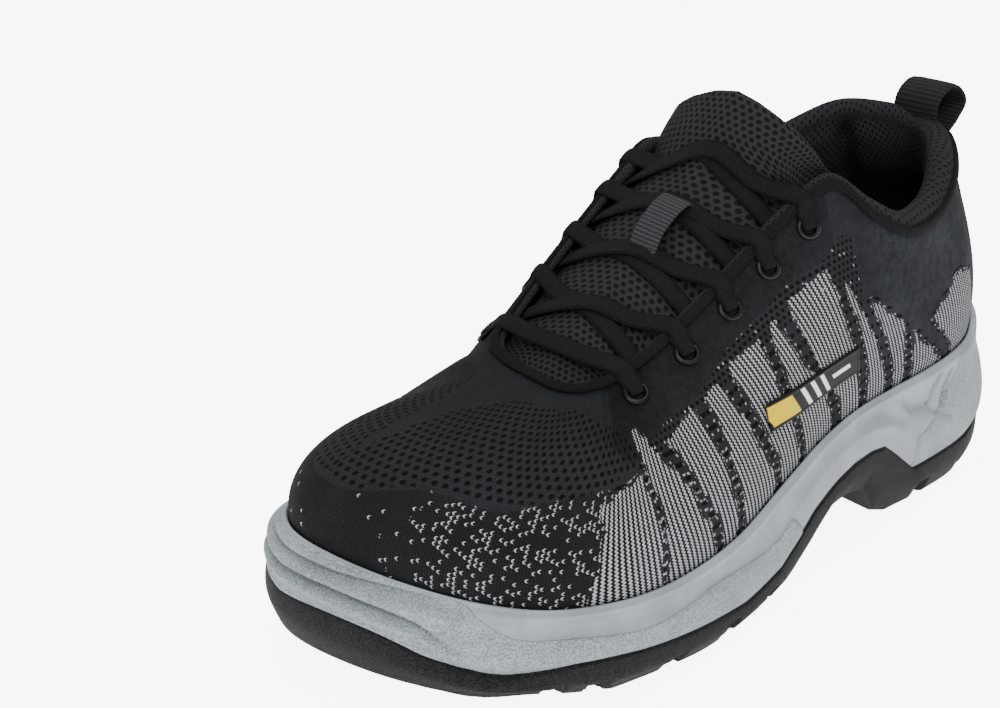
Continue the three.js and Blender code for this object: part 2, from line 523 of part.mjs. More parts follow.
// Binding: a band over the outer face along the top edge, all round
function bindingSolid() {
  const each = (make) => Array.from({ length: ROUND }, (_, i) => make(i / ROUND * SECTIONS.length));
  const tAt = (u, back) => 1 - back / (arc(u, 0.9).distanceTo(arc(u, 1)) / 0.1);
  return solid([
    each((u) => upperAt(u, tAt(u, BINDING_WIDE), GAP)),
    each((u) => upperAt(u, tAt(u, BINDING_WIDE - 0.6), GAP + 1)),
    each((u) => upperAt(u, tAt(u, 0.8), GAP + 1)),
    each((u) => upperAt(u, tAt(u, 0.2), GAP)),
  ], 'ring');
}

// Lace: a straight bar at the first pair and a crossing from each pair to the next
function laceSolid() {
  const strips = [], up = V(0, -0.5, 0.86);
  const ridge = (y) => lookup([...TUCK, ...TIP], 'along', y / LENGTH + 0.5, 'high') * HEEL;
  const end = (side, i) => {
    const u = EYELETS[side][i], { p, n } = eyeletAt(u);
    return {
      points: [p.clone().addScaledVector(n, 2.5), upperAt(u, 1, 3.2)],
      normals: [n, across(u, 1).add(up).normalize()],
    };
  };
  // A strip from a to b, arched over the tongue; returns where the next one branches off below it
  const strip = (a, b) => {
    const mid = a.points[a.points.length - 1].clone().lerp(b.points[1], 0.5);
    mid.z = ridge(mid.y) + 2.5;
    const line = new THREE.CatmullRomCurve3([...a.points, mid, b.points[1], b.points[0]]);
    const normals = [...a.normals, up, b.normals[1], b.normals[0]], last = normals.length - 1;
    const normal = (t) => {
      const k = Math.min(Math.floor(t * last), last - 1);
      return normals[k].clone().lerp(normals[k + 1], t * last - k);
    };
    const points = Array.from({ length: 9 }, (_, k) => line.getPoint(k / 8));
    strips.push(toManifold(band(points, LACE_WIDE, LACE_THICK, (k, along) => normal(k / 8).cross(along))));
    return (t) => ({ points: [line.getPoint(t).addScaledVector(normal(t), -0.8)], normals: [normal(t)] });
  };
  const bar = strip(end('inner', 0), end('outer', 0));
  let from = { inner: bar(0.32), outer: bar(0.68) };
  for (let i = 1; i < 5; i++) {
    const one = strip(from.inner, end('outer', i)), two = strip(from.outer, end('inner', i));
    from = { outer: one(0.6), inner: two(0.6) };
  }
  return fromManifold(strips.reduce((a, b) => a.add(b)));
}

// Webbing loop at the heel, from behind the collar up and over to the inside; shares of LENGTH and HEEL
const LOOP = [
  { along: 0.9293, high: 0.9106 }, { along: 0.9245, high: 0.9634 }, { along: 0.9354, high: 1.0041 },
  { along: 0.9483, high: 1.0488 }, { along: 0.9361, high: 1.0894 }, { along: 0.9197, high: 1.1041 },
  { along: 0.9034, high: 1.0911 }, { along: 0.8932, high: 1.065 }, { along: 0.8912, high: 1.0407 },
];
function loopSolid() {
  return band(LOOP.map((row) => spot({ side: 0, ...row })), LOOP_WIDE, LOOP_THICK, () => V(1, 0, 0));
}

// Ribbed webbing loop on the tongue that holds the lace
function keeperSolid() {
  const points = [[3.82, 1.1], [3.94, 1.6], [4.1, 3.9], [4.3, 5], [4.65, 5], [4.88, 3.6], [5, 1.4]]
    .map(([v, off]) => tongueAt(v, 0.04, -off));
  return band(points, KEEPER_WIDE, KEEPER_THICK, () => V(1, 0, 0));
}

// Plain patch on the outer quarter, following the knit
function patchSolid() {
  const face = (out) => Array.from({ length: 3 }, (_, r) => Array.from({ length: 9 }, (_, c) =>
    upperAt(mix(7.65, 9.9, c / 8), mix(mix(0.292, 0.179, c / 8), mix(0.412, 0.284, c / 8), r / 2), out)));
  return sheetSolid(face(GAP + 0.7), face(GAP));
}

function volume(g) {
  const p = g.attributes.position, i = g.index;
  const a = V(), b = V(), c = V();
  let sum = 0;
  for (let k = 0; k < i.count; k += 3) {
    [a, b, c].forEach((corner, j) => corner.fromBufferAttribute(p, i.getX(k + j)));
    sum += a.dot(b.cross(c)) / 6;
  }
  return sum;
}

function named(name, geometry, color, roughness, metalness = 0) {
  let g = geometry.index ? geometry : mergeVertices(geometry, 1e-4);
  if (volume(g) < 0) {
    const list = Array.from(g.index.array);
    for (let k = 0; k < list.length; k += 3) [list[k + 1], list[k + 2]] = [list[k + 2], list[k + 1]];
    g.setIndex(list);
  }
  g.computeVertexNormals();
  const mesh = new THREE.Mesh(g, new THREE.MeshStandardMaterial({ color, roughness, metalness }));
  mesh.name = name;
  return mesh;
}

const holes = ['outer', 'inner'].flatMap((side) => EYELETS[side].map((u) => {
  const { p, n } = eyeletAt(u);
  const drill = new THREE.CylinderGeometry(EYELET_BORE + 0.5 + GAP, EYELET_BORE + 0.5 + GAP, 12, 10);
  drill.rotateX(Math.PI / 2);
  return toManifold(placed(drill, p, n));
}));

const shoe = new THREE.Group();
shoe.name = 'safety_sneaker_left';
shoe.add(named('outsole', outsoleSolid(), 0x262628, 0.85));
shoe.add(named('midsole', midsoleSolid(), 0xa4adaf, 0.6));
shoe.add(named('insole', insoleSolid(), 0x3a3a3d, 0.9));
shoe.add(named('upper', fromManifold(cut(toManifold(upperSolid()), holes)), 0x1f2023, 0.95));
shoe.add(named('edge_binding', bindingSolid(), 0x2b2b2e, 0.9));
shoe.add(named('tongue', tongueSolid(), 0x2d2d2f, 0.95));
shoe.add(named('lace_keeper', keeperSolid(), 0x353537, 0.9));
for (const side of ['outer', 'inner']) {
  EYELETS[side].forEach((u, i) => shoe.add(named(`eyelet_${side}_${i + 1}`, eyelet(u), 0x2a2b2e, 0.35, 0.9)));
}
shoe.add(named('lace', laceSolid(), 0x262629, 0.9));
shoe.add(named('pull_loop', loopSolid(), 0x222225, 0.9));
shoe.add(named('side_patch', patchSolid(), 0x18181a, 0.6));

const bounds = new THREE.Box3().setFromObject(shoe);
const middle = bounds.getCenter(V());
for (const mesh of shoe.children) mesh.geometry.translate(-middle.x, -middle.y, -bounds.min.z);

export default shoe;
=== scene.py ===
"""Left safety sneaker dressed for its portrait: knit upper, foam midsole, rubber outsole, tongue, laces,
trims, light and camera. The shape functions work in millimetres with the toe along -Y and the outer side
along +X; piece() moves their points to the middle of the shoe and turns them into metres."""

import bmesh
import bpy
import numpy as np
from mathutils import Matrix, Vector


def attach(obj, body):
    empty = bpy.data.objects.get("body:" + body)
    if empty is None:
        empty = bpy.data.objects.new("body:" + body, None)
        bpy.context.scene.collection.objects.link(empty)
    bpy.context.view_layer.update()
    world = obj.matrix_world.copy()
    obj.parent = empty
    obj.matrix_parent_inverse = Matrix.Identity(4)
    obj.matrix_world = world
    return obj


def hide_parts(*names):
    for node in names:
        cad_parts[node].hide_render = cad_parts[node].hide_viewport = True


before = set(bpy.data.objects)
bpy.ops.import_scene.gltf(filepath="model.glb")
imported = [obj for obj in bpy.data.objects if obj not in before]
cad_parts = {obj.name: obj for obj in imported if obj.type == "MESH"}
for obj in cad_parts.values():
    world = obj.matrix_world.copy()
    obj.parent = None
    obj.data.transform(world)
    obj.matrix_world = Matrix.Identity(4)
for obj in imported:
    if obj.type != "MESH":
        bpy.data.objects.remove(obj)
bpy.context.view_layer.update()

LENGTH, BALL, HEEL = 294.0, 104.0, 123.0          # sole length, ball width, floor to heel collar (mm)
WALL, TOE_WALL, PAD, GAP, CUP = 2.4, 3.0, 7.0, 0.3, 4.6      # knit, at the toe, collar pad, clearance, cup
MIDDLE = np.array([1.7918, 2.3034, 0.0])          # plan centre of the drawn shoe

# A row per section round the foot, toe tip, outer side, heel, inner side. Sides in BALL, along in
# LENGTH, heights in HEEL: foot (side, along, rim), top edge (side, along, top), rise, lean, reach, brow, pad
SECTIONS = np.array([
    [-0.125, 0.037, 0.366, -0.038, 0.299, 0.618, 0.195, 0.01, 0.404, 4, 0],
    [0.048, 0.049, 0.354, 0.029, 0.298, 0.618, 0.195, 0.014, 0.404, 5, 0],
    [0.221, 0.08, 0.329, 0.087, 0.299, 0.618, 0.195, 0.019, 0.346, 7, 0],
    [0.361, 0.124, 0.297, 0.13, 0.306, 0.62, 0.199, 0.029, 0.288, 12, 0],
    [0.462, 0.18, 0.268, 0.163, 0.316, 0.63, 0.187, 0.038, 0.231, 18, 0],
    [0.519, 0.255, 0.248, 0.192, 0.337, 0.65, 0.179, 0.043, 0.173, 26, 0],
    [0.524, 0.33, 0.243, 0.207, 0.374, 0.687, 0.194, 0.043, 0.163, 33, 0],
    [0.5, 0.412, 0.262, 0.212, 0.432, 0.756, 0.212, 0.038, 0.173, 40, 0],
    [0.447, 0.5, 0.312, 0.212, 0.5, 0.846, 0.221, 0.029, 0.192, 48, 0],
    [0.389, 0.588, 0.352, 0.221, 0.568, 0.939, 0.232, 0.029, 0.212, 56, 0.2],
    [0.361, 0.656, 0.374, 0.255, 0.626, 1.004, 0.231, 0.038, 0.212, 66, 0.35],
    [0.346, 0.724, 0.382, 0.327, 0.673, 0.911, 0.185, 0.043, 0.173, 80, 0.9],
    [0.346, 0.793, 0.396, 0.356, 0.728, 0.846, 0.168, 0.048, 0.154, 86, 1],
    [0.322, 0.861, 0.409, 0.317, 0.799, 0.862, 0.17, 0.048, 0.154, 84, 1],
    [0.26, 0.915, 0.418, 0.25, 0.85, 0.935, 0.187, 0.029, 0.192, 80, 1],
    [0.154, 0.963, 0.447, 0.13, 0.895, 0.984, 0.201, 0.019, 0.212, 76, 1],
    [0.01, 0.981, 0.496, 0, 0.912, 1, 0.203, 0.014, 0.212, 74, 1],
    [-0.135, 0.963, 0.447, -0.13, 0.895, 1.016, 0.201, 0.019, 0.212, 76, 1],
    [-0.236, 0.917, 0.415, -0.255, 0.854, 1.016, 0.188, 0.029, 0.192, 80, 1],
    [-0.293, 0.864, 0.406, -0.337, 0.799, 0.963, 0.172, 0.048, 0.154, 84, 1],
    [-0.312, 0.796, 0.394, -0.365, 0.728, 0.902, 0.171, 0.048, 0.154, 86, 1],
    [-0.308, 0.728, 0.384, -0.394, 0.67, 0.927, 0.192, 0.043, 0.173, 80, 0.9],
    [-0.298, 0.66, 0.376, -0.394, 0.588, 1.008, 0.242, 0.038, 0.212, 66, 0.35],
    [-0.308, 0.592, 0.357, -0.361, 0.534, 0.959, 0.246, 0.029, 0.212, 60, 0.2],
    [-0.337, 0.507, 0.325, -0.351, 0.483, 0.87, 0.233, 0.029, 0.192, 54, 0],
    [-0.385, 0.425, 0.28, -0.337, 0.425, 0.772, 0.216, 0.038, 0.173, 46, 0],
    [-0.438, 0.35, 0.252, -0.308, 0.371, 0.691, 0.195, 0.043, 0.144, 38, 0],
    [-0.471, 0.276, 0.252, -0.26, 0.327, 0.642, 0.179, 0.043, 0.154, 28, 0],
    [-0.471, 0.207, 0.268, -0.212, 0.311, 0.628, 0.187, 0.038, 0.212, 18, 0],
    [-0.438, 0.143, 0.293, -0.163, 0.306, 0.622, 0.203, 0.029, 0.279, 12, 0],
    [-0.375, 0.095, 0.329, -0.12, 0.303, 0.618, 0.203, 0.019, 0.346, 7, 0],
    [-0.269, 0.056, 0.354, -0.077, 0.3, 0.618, 0.195, 0.014, 0.404, 5, 0],
])
# along, ground, seat, bed, split
SOLE = np.array([
    [-0.010, 0.1301, 0.1951, 0.2439, 0.2358],
    [0.031, 0.1138, 0.1789, 0.2317, 0.2033],
    [0.085, 0.0911, 0.1512, 0.2073, 0.161],
    [0.139, 0.0569, 0.1154, 0.1789, 0.1366],
    [0.194, 0.0228, 0.0878, 0.1561, 0.1366],
    [0.241, 0, 0.0667, 0.1423, 0.1268],
    [0.330, 0, 0.0618, 0.1382, 0.1008],
    [0.415, 0, 0.0585, 0.1423, 0.0829],
    [0.480, 0, 0.0618, 0.1504, 0.0959],
    [0.514, 0.0098, 0.0854, 0.1626, 0.1333],
    [0.554, 0.0488, 0.1179, 0.1789, 0.1821],
    [0.602, 0.122, 0.1569, 0.2016, 0.2163],
    [0.643, 0.1301, 0.165, 0.2154, 0.2358],
    [0.677, 0.1179, 0.1545, 0.2236, 0.239],
    [0.704, 0.0244, 0.1016, 0.2276, 0.2293],
    [0.731, 0, 0.0813, 0.2317, 0.1821],
    [0.765, 0, 0.0732, 0.2358, 0.1187],
    [0.806, 0, 0.0732, 0.2358, 0.1203],
    [0.874, 0, 0.0732, 0.2398, 0.126],
    [0.935, 0.0024, 0.0772, 0.2439, 0.1423],
    [0.976, 0.0244, 0.0976, 0.248, 0.1626],
    [1.010, 0.0569, 0.1138, 0.252, 0.1829],
])
# up, toe, flank, heel: offsets of the midsole's side face from the sole line
FACE = np.array([
    [0, 5.6, 4.2, 6.2], [0.12, 7.4, 4.6, 7.4], [0.26, 7.4, 4.4, 7.4], [0.36, 5.4, 4, 6.8],
    [0.46, 6.7, 3.6, 6], [0.56, 6.3, 2.6, 5], [0.65, 4.3, 1.9, 4], [0.74, 5.2, 1.7, 3.3],
    [0.88, 4.4, 2.6, 2.8], [0.96, 3, 3, 2.6], [1, 1.8, 1.8, 1.8],
])
# Tongue: steps of SECTIONS at outer and inner edge, ridge side, along, high
TUCK = np.array([
    [2.2, 29.8, -0.0288, 0.2687, 0.5772], [3.6, 28.4, -0.0288, 0.3061, 0.5935],
    [5.2, 26.9, -0.0385, 0.3571, 0.6789], [6.3, 25.7, -0.0529, 0.4082, 0.7561],
    [7.4, 24.6, -0.0625, 0.4626, 0.8455], [8.5, 23.5, -0.0673, 0.5136, 0.939],
    [9.3, 22.7, -0.0673, 0.5476, 1.0163],
])
# Free end: ridge side, along, high, then outer and inner edge (out, back, fall)
TIP = np.array([
    [-0.0673, 0.5748, 1.0976, 0.2692, 0.0442, 0.112, 0.274, 0.0034, 0.061],
    [-0.0673, 0.5952, 1.1626, 0.308, 0.0374, 0.148, 0.2788, 0, 0.0813],
    [-0.0769, 0.6037, 1.1911, 0.262, 0.0238, 0.128, 0.2404, -0.0068, 0.0732],
])
STEPS, STEP_MM = len(SECTIONS), 20             # steps round the foot, about how long one is
EYELETS = {"outer": [5.38, 6.66, 7.6, 8.42, 9.32], "inner": [26.6, 25.35, 24.45, 23.6, 22.75]}


def ease(t):
    """Smooth step from 0 to 1."""
    c = np.clip(t, 0, 1)
    return c * c * (3 - 2 * c)


def blend(a, b, t):
    """Straight line from a, where t is 0, to b, where t is 1."""
    return a + (b - a) * t


def curve(p0, p1, p2, p3, t):
    """Catmull-Rom between p1 and p2."""
    bend, twist = 2 * p0 - 5 * p1 + 4 * p2 - p3, 3 * p1 - p0 - 3 * p2 + p3
    return 0.5 * (2 * p1 + (p2 - p0) * t + bend * t**2 + twist * t**3)


def cell(x, count):
    """Whole part of x, kept below count, and what is left of x."""
    i = np.minimum(np.floor(x).astype(int), count - 1)
    return i, x - i


def through(rows, x):
    """Catmull-Rom curve through the rows of an array, at places x counted in rows."""
    last = len(rows) - 1
    i, t = cell(x, last)
    p0, p1, p2, p3 = (rows[np.clip(i + k, 0, last)] for k in (-1, 0, 1, 2))
    return curve(p0, p1, p2, p3, t.reshape(x.shape + (1,) * (rows.ndim - 1)))


def mirror(u):
    """Steps from the toe on either side of the foot."""
    k = np.mod(u, STEPS)
    return np.minimum(k, STEPS - k)


def steps_round(count):
    """Even steps round the foot, from the tip of the toe."""
    return np.arange(count) / count * STEPS


def full_turn(count):
    """Even angles round a circle, the last one a step short of the first."""
    return np.linspace(0, 2 * np.pi, count, endpoint=False)


def squared(wave, power):
    """A sine or cosine bent into a superellipse's."""
    return np.sign(wave) * np.abs(wave) ** power


def run_along(line):
    """Length walked along a line at each of its points."""
    return np.append(0, np.cumsum(np.linalg.norm(np.diff(line, axis=0), axis=1)))


def section(column, u):
    """A column of the closed table SECTIONS at step u."""
    u = np.asarray(u, float)
    i = np.floor(u).astype(int)
    return curve(*(SECTIONS[(i + k) % STEPS, column] for k in (-1, 0, 1, 2)), u - i)


def sole(column, y):
    """Height of the sole's column (1 ground, 2 seat, 3 bed, 4 split) at the place y along it."""
    return np.interp(y / LENGTH + 0.5, SOLE[:, 0], SOLE[:, column]) * HEEL


def spot(side, along, high):
    """Point from shares of ball width, sole length and heel height."""
    return np.stack([side * BALL, (along - 0.5) * LENGTH, high * HEEL], -1)


def foot(u):
    """Point on the sole line, where the upper meets the sole, at step u."""
    return spot(section(0, u), section(1, u), section(2, u))


def edge(u):
    """Point on the top edge at step u."""
    return spot(section(3, u), section(4, u), section(5, u))


def unit(v):
    """Vectors divided by their length."""
    return v / np.maximum(np.linalg.norm(v, axis=-1, keepdims=True), 1e-9)


def outward(line, u):
    """Plan direction out of a closed line: its run turned a quarter turn."""
    d = line(np.asarray(u) + 0.35) - line(np.asarray(u) - 0.35)
    return unit(np.stack([d[..., 1], -d[..., 0], 0 * d[..., 0]], -1))


def arc(u, t):
    """Outer face of the upper: a cubic arc from the sole line (t 0) to the top edge (t 1)."""
    u, t = np.broadcast_arrays(np.asarray(u, float), np.asarray(t, float))
    a, d, brow, reach = foot(u), edge(u), np.radians(section(9, u)), section(8, u) * BALL
    up = np.array([0, 0, 1.0])
    b = a + outward(foot, u) * (section(7, u) * BALL)[..., None] + up * (section(6, u) * HEEL)[..., None]
    c = d + outward(edge, u) * (reach * np.cos(brow))[..., None] - up * (reach * np.sin(brow))[..., None]
    t = t[..., None]
    s = 1 - t
    return s**3 * a + 3 * s * s * t * b + 3 * s * t * t * c + t**3 * d


def across(u, t):
    """Normal of that face: the cross product of its run round the foot and its run upwards."""
    e = 0.02
    du = arc(u + e, t) - arc(u - e, t)
    dt = arc(u, np.minimum(1, t + e)) - arc(u, np.maximum(0, t - e))
    return unit(np.cross(du, dt))


def skin(u, t, out=0.0):
    """Point out (mm) from the upper's outer face."""
    u, t, out = np.broadcast_arrays(np.asarray(u, float), np.asarray(t, float), np.asarray(out, float))
    return arc(u, t) + across(u, t) * out[..., None]


def at_toe(u):
    """1 round the toe, 0 from the ball on."""
    return 1 - ease((mirror(u) - 2.2) / 2.6)


def wall(u, t):
    """Thickness of the upper (mm): more at the toe and where the collar is padded."""
    return blend(WALL, TOE_WALL, at_toe(u)) + PAD * section(10, u) * ease((t - 0.42) / 0.4)


def toe_share(u):
    """Share of the toe's rolls in the side face: 1 round the toe, gone sooner on the inner side."""
    k = np.mod(u, STEPS)
    k = np.where(k > STEPS / 2, (STEPS - k) * 0.8, k)
    return 1 - ease((k - 2.6) / 1.8)


def face_offset(up, u):
    """How far the midsole's side face stands out of the sole line: toe, flank and heel profiles blended."""
    x = np.interp(up, FACE[:, 0], np.arange(len(FACE)))
    toe, flank, heel = (through(FACE[:, c], x) for c in (1, 2, 3))
    side = blend(flank, toe, toe_share(u))
    return blend(side, heel, ease((foot(u)[..., 1] / LENGTH - 0.3) / 0.14))


def sole_point(u, offset, z):
    """Point at height z, offset (mm) out of the sole line in plan."""
    p = foot(u) + outward(foot, u) * np.asarray(offset)[..., None]
    p[..., 2] = z
    return p


# Making pieces from points
def trough(x, middle, width):
    """A soft furrow: 1 at its middle, falling as a bell whose half width is width."""
    return np.exp(-(((x - middle) / width) ** 2))


def corners(rows, cols, around=False, over=False):
    """Corners of the squares of a grid: around joins its last column to the first, over its last row to the
    first. The second table counts them on a grid with that column and row repeated, for the charts."""
    r, c = np.indices((rows if over else rows - 1, cols if around else cols - 1)).reshape(2, -1)
    steps = ((0, 0), (0, 1), (1, 1), (1, 0))
    shape = np.stack([(r + a) % rows * cols + (c + b) % cols for a, b in steps], 1)
    wide = cols + 1 if around else cols
    chart = np.stack([(r + a) * wide + c + b for a, b in steps], 1)
    return shape, chart


def piece(name, points, faces, finish, stands_for, chart=None, chart_faces=None, marks=None, slots=None,
          weld=False):
    """A mesh from points (mm) and squares, smooth, faces turned outwards by the sign of its volume. chart
    is the UV map in millimetres, marks are numbers kept at the points, slots the finish of each face."""
    points = (np.asarray(points, float).reshape(-1, 3) - MIDDLE) / 1000
    faces = np.asarray(faces)
    chart_faces = faces if chart_faces is None else chart_faces
    a, b, c, d = (points[faces[:, k]] for k in range(4))
    volume = np.einsum("ij,ij->i", a, np.cross(b, c) + np.cross(c, d)).sum()
    if volume < 0:
        faces, chart_faces = faces[:, ::-1], chart_faces[:, ::-1]
    mesh = bpy.data.meshes.new(name)
    mesh.vertices.add(len(points))
    mesh.vertices.foreach_set("co", points.astype(np.float32).ravel())
    mesh.loops.add(faces.size)
    mesh.loops.foreach_set("vertex_index", faces.astype(np.int32).ravel())
    mesh.polygons.add(len(faces))
    mesh.polygons.foreach_set("loop_start", np.arange(0, faces.size, 4, dtype=np.int32))
    mesh.update(calc_edges=True)
    mesh.polygons.foreach_set("use_smooth", np.ones(len(faces), bool))
    if chart is not None:
        layer = mesh.uv_layers.new(name="chart")
        places = np.asarray(chart, np.float32).reshape(-1, 2)
        layer.data.foreach_set("uv", places[chart_faces.ravel()].ravel())
    for key, values in (marks or {}).items():
        mark = mesh.attributes.new(key, "FLOAT", "POINT")
        mark.data.foreach_set("value", np.asarray(values, np.float32).ravel())
    if slots is not None:
        mesh.polygons.foreach_set("material_index", np.asarray(slots, np.int32))
    if weld:
        shape = bmesh.new()
        shape.from_mesh(mesh)
        bmesh.ops.remove_doubles(shape, verts=shape.verts, dist=2e-6)
        shape.to_mesh(mesh)
        shape.free()
    obj = bpy.data.objects.new(name, mesh)
    bpy.context.scene.collection.objects.link(obj)
    for material in finish if isinstance(finish, list) else [finish]:
        mesh.materials.append(material)
    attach(obj, "root")
    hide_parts(*stands_for)
    return obj


def spline(knots, count):
    """Smooth line through knots (n, 3): a Catmull-Rom curve walked at even steps of length."""
    knots = np.asarray(knots, float)
    ends = np.concatenate([[2 * knots[0] - knots[1]], knots, [2 * knots[-1] - knots[-2]]])
    x = np.linspace(0, len(knots) - 1, 12 * len(knots))
    i, t = cell(x, len(knots) - 1)
    line = curve(ends[i], ends[i + 1], ends[i + 2], ends[i + 3], t[:, None])
    run = run_along(line)
    even = np.linspace(0, run[-1], count)
    return np.stack([np.interp(even, run, line[:, k]) for k in range(3)], 1), even, np.interp(even, run, x)


def ribbon(path, normals, wide, thick, sides, crown=0.0):
    """A flat band with rounded edges along a path: its section is a superellipse, wide across the path and
    thick along the normals, raised in its middle by crown. Both ends close to a point."""
    run = unit(np.gradient(path, axis=0))
    across_it = unit(np.cross(run, normals))
    up = np.cross(across_it, run)
    angle = full_turn(sides)
    x, z = squared(np.cos(angle), 0.5) / 2, squared(np.sin(angle), 0.6) / 2
    wide, thick = np.broadcast_to(wide, len(path)), np.broadcast_to(thick, len(path))
    lift = crown * (1 - (2 * x) ** 2)
    rings = (path[:, None] + across_it[:, None] * (x * wide[:, None])[..., None]
             + up[:, None] * (z * thick[:, None] + lift)[..., None])
    centre = path[:, None] + 0 * rings
    rings = np.concatenate([centre[:1], rings, centre[-1:]])
    length = np.pad(run_along(path), 1, mode="edge")
    girth = np.linspace(0, 2 * (wide.max() + thick.max()), sides + 1)
    chart = np.stack(np.broadcast_arrays(girth[None, :], length[:, None]), -1)
    return rings, chart


def closed_over(ring, shares):
    """Rings that close a ring round the foot: each point moves towards its partner on the other side."""
    partner = np.roll(ring[::-1], 1, axis=0)
    return [ring + (partner - ring) * s / 2 for s in shares]


# Finishes
def linear(*rgb):
    """Colour as painted (0 to 255) turned into light."""
    c = np.array(rgb) / 255
    return (*np.where(c <= 0.04045, c / 12.92, ((c + 0.055) / 1.055) ** 2.4), 1.0)


def feed(tree, slot, value):
    """Links a wire to an input socket, or sets the socket to a number or colour."""
    if isinstance(value, Wire):
        tree.links.new(value.socket, slot)
    else:
        slot.default_value = value


def add(tree, kind, **inputs):
    """A new node whose named inputs are linked or set; _ in a name stands for a space."""
    node = tree.nodes.new("ShaderNode" + kind)
    for key, value in inputs.items():
        feed(tree, node.inputs[key.replace("_", " ")], value)
    return node


class Wire:
    """An output in a node tree; sums and products of wires are Math nodes."""

    def __init__(self, tree, socket):
        self.tree, self.socket = tree, socket

    def math(self, operation, *rest):
        """This wire and others through one Math node."""
        node = self.tree.nodes.new("ShaderNodeMath")
        node.operation = operation
        for slot, value in zip(node.inputs, (self, *rest)):
            feed(self.tree, slot, value)
        return Wire(self.tree, node.outputs[0])

    def __add__(self, other):
        return self.math("ADD", other)

    def __sub__(self, other):
        return self.math("SUBTRACT", other)

    def __rsub__(self, other):
        return self.math("MULTIPLY", -1.0).math("ADD", other)

    def __mul__(self, other):
        return self.math("MULTIPLY", other)

    def __truediv__(self, other):
        return self.math("DIVIDE", other)

    __radd__, __rmul__ = __add__, __mul__

    def frac(self):
        """What is left past the whole number below."""
        return self.math("FRACT")

    def floor(self):
        """The whole number below."""
        return self.math("FLOOR")

    def size(self):
        """The number without its sign."""
        return self.math("ABSOLUTE")

    def high(self, other):
        """The larger of two."""
        return self.math("MAXIMUM", other)

    def low(self, other):
        """The smaller of two."""
        return self.math("MINIMUM", other)

    def rise(self, start, end):
        """0 below start, 1 above end, smooth between; falls where start is above end."""
        low, high = sorted((start, end))
        node = add(self.tree, "MapRange", Value=self, From_Min=low, From_Max=high,
                   To_Min=float(start > end), To_Max=float(start <= end))
        node.interpolation_type = "SMOOTHSTEP"
        return Wire(self.tree, node.outputs[0])


def zigzag(x):
    """Triangle wave of a wire: 0 at whole numbers, 1 half way between them."""
    return 1.0 - (x.frac() * 2.0 - 1.0).size()


def vector(tree, x, y, z):
    """A place from three numbers."""
    return Wire(tree, add(tree, "CombineXYZ", X=x, Y=y, Z=z).outputs[0])


def axes(tree, place):
    """The three numbers of a place."""
    return [Wire(tree, out) for out in add(tree, "SeparateXYZ", Vector=place).outputs]


def chance(tree, x, y, seed):
    """A number from 0 to 1, fixed for each whole cell (x, y)."""
    return Wire(tree, add(tree, "TexWhiteNoise", Vector=vector(tree, x, y, seed)).outputs["Value"])


def cloud(tree, place, scale, detail=3.0, roughness=0.6):
    """Smooth noise, 0 to 1."""
    node = add(tree, "TexNoise", Vector=place, Scale=scale, Detail=detail, Roughness=roughness)
    return Wire(tree, node.outputs["Fac"])


def fuzz(tree, scale):
    """Fine noise over the piece, 0 to 1."""
    return cloud(tree, coordinates(tree), scale, 2.0)


def coordinates(tree):
    """Place on the piece, in metres."""
    return Wire(tree, tree.nodes.new("ShaderNodeTexCoord").outputs["Object"])


def chart_axes(tree):
    """The two millimetre coordinates of the piece's own chart."""
    uv = tree.nodes.new("ShaderNodeUVMap")
    uv.uv_map = "chart"
    return axes(tree, Wire(tree, uv.outputs[0]))[:2]


def mark(tree, name):
    """A number kept at the piece's points."""
    node = tree.nodes.new("ShaderNodeAttribute")
    node.attribute_name = name
    return Wire(tree, node.outputs["Fac"])


def paint(tree, share, dark, light):
    """A colour between two: share 0 gives dark and 1 gives light. Each may be a colour or a wire."""
    node = tree.nodes.new("ShaderNodeMix")
    node.data_type = "RGBA"
    slots = [s for s in node.inputs if s.type == "RGBA"]
    for slot, value in zip(slots, (dark, light)):
        feed(tree, slot, value)
    tree.links.new(share.socket, node.inputs[0])
    return Wire(tree, [s for s in node.outputs if s.type == "RGBA"][0])


def group(name, inputs, outputs, build):
    """A shared effect as a node group: inputs {name: value}, outputs [names]; build gets the tree and the
    wires of its inputs and returns the wires of its outputs."""
    tree = bpy.data.node_groups.new(name, "ShaderNodeTree")
    for key, value in inputs.items():
        kind = "NodeSocketVector" if value is None else "NodeSocketFloat"
        socket = tree.interface.new_socket(name=key, in_out="INPUT", socket_type=kind)
        if value is not None:
            socket.default_value = value
    for key in outputs:
        tree.interface.new_socket(name=key, in_out="OUTPUT", socket_type="NodeSocketFloat")
    source, sink = tree.nodes.new("NodeGroupInput"), tree.nodes.new("NodeGroupOutput")
    results = build(tree, {key: Wire(tree, source.outputs[key]) for key in inputs})
    for key, wire in zip(outputs, results):
        tree.links.new(wire.socket, sink.inputs[key])
    return tree


def use(tree, shared, **values):
    """Places a shared effect and gives back its outputs."""
    node = tree.nodes.new("ShaderNodeGroup")
    node.node_tree = shared
    for key, value in values.items():
        feed(tree, node.inputs[key], value)
    return [Wire(tree, out) for out in node.outputs]


def finish(name, build, **constant):
    """A material: build gets its tree and returns wires for colour, roughness and height in millimetres."""
    material = bpy.data.materials.new(name)
    material.use_nodes = True
    tree = material.node_tree
    shader = tree.nodes["Principled BSDF"]
    colour, rough, height = build(tree)
    for key, value in {**constant, "Base Color": colour, "Roughness": rough}.items():
        feed(tree, shader.inputs[key.replace("_", " ")], value)
    if height is not None:
        bump = add(tree, "Bump", Distance=0.001, Strength=1.0, Height=height)
        tree.links.new(bump.outputs[0], shader.inputs["Normal"])
    return material


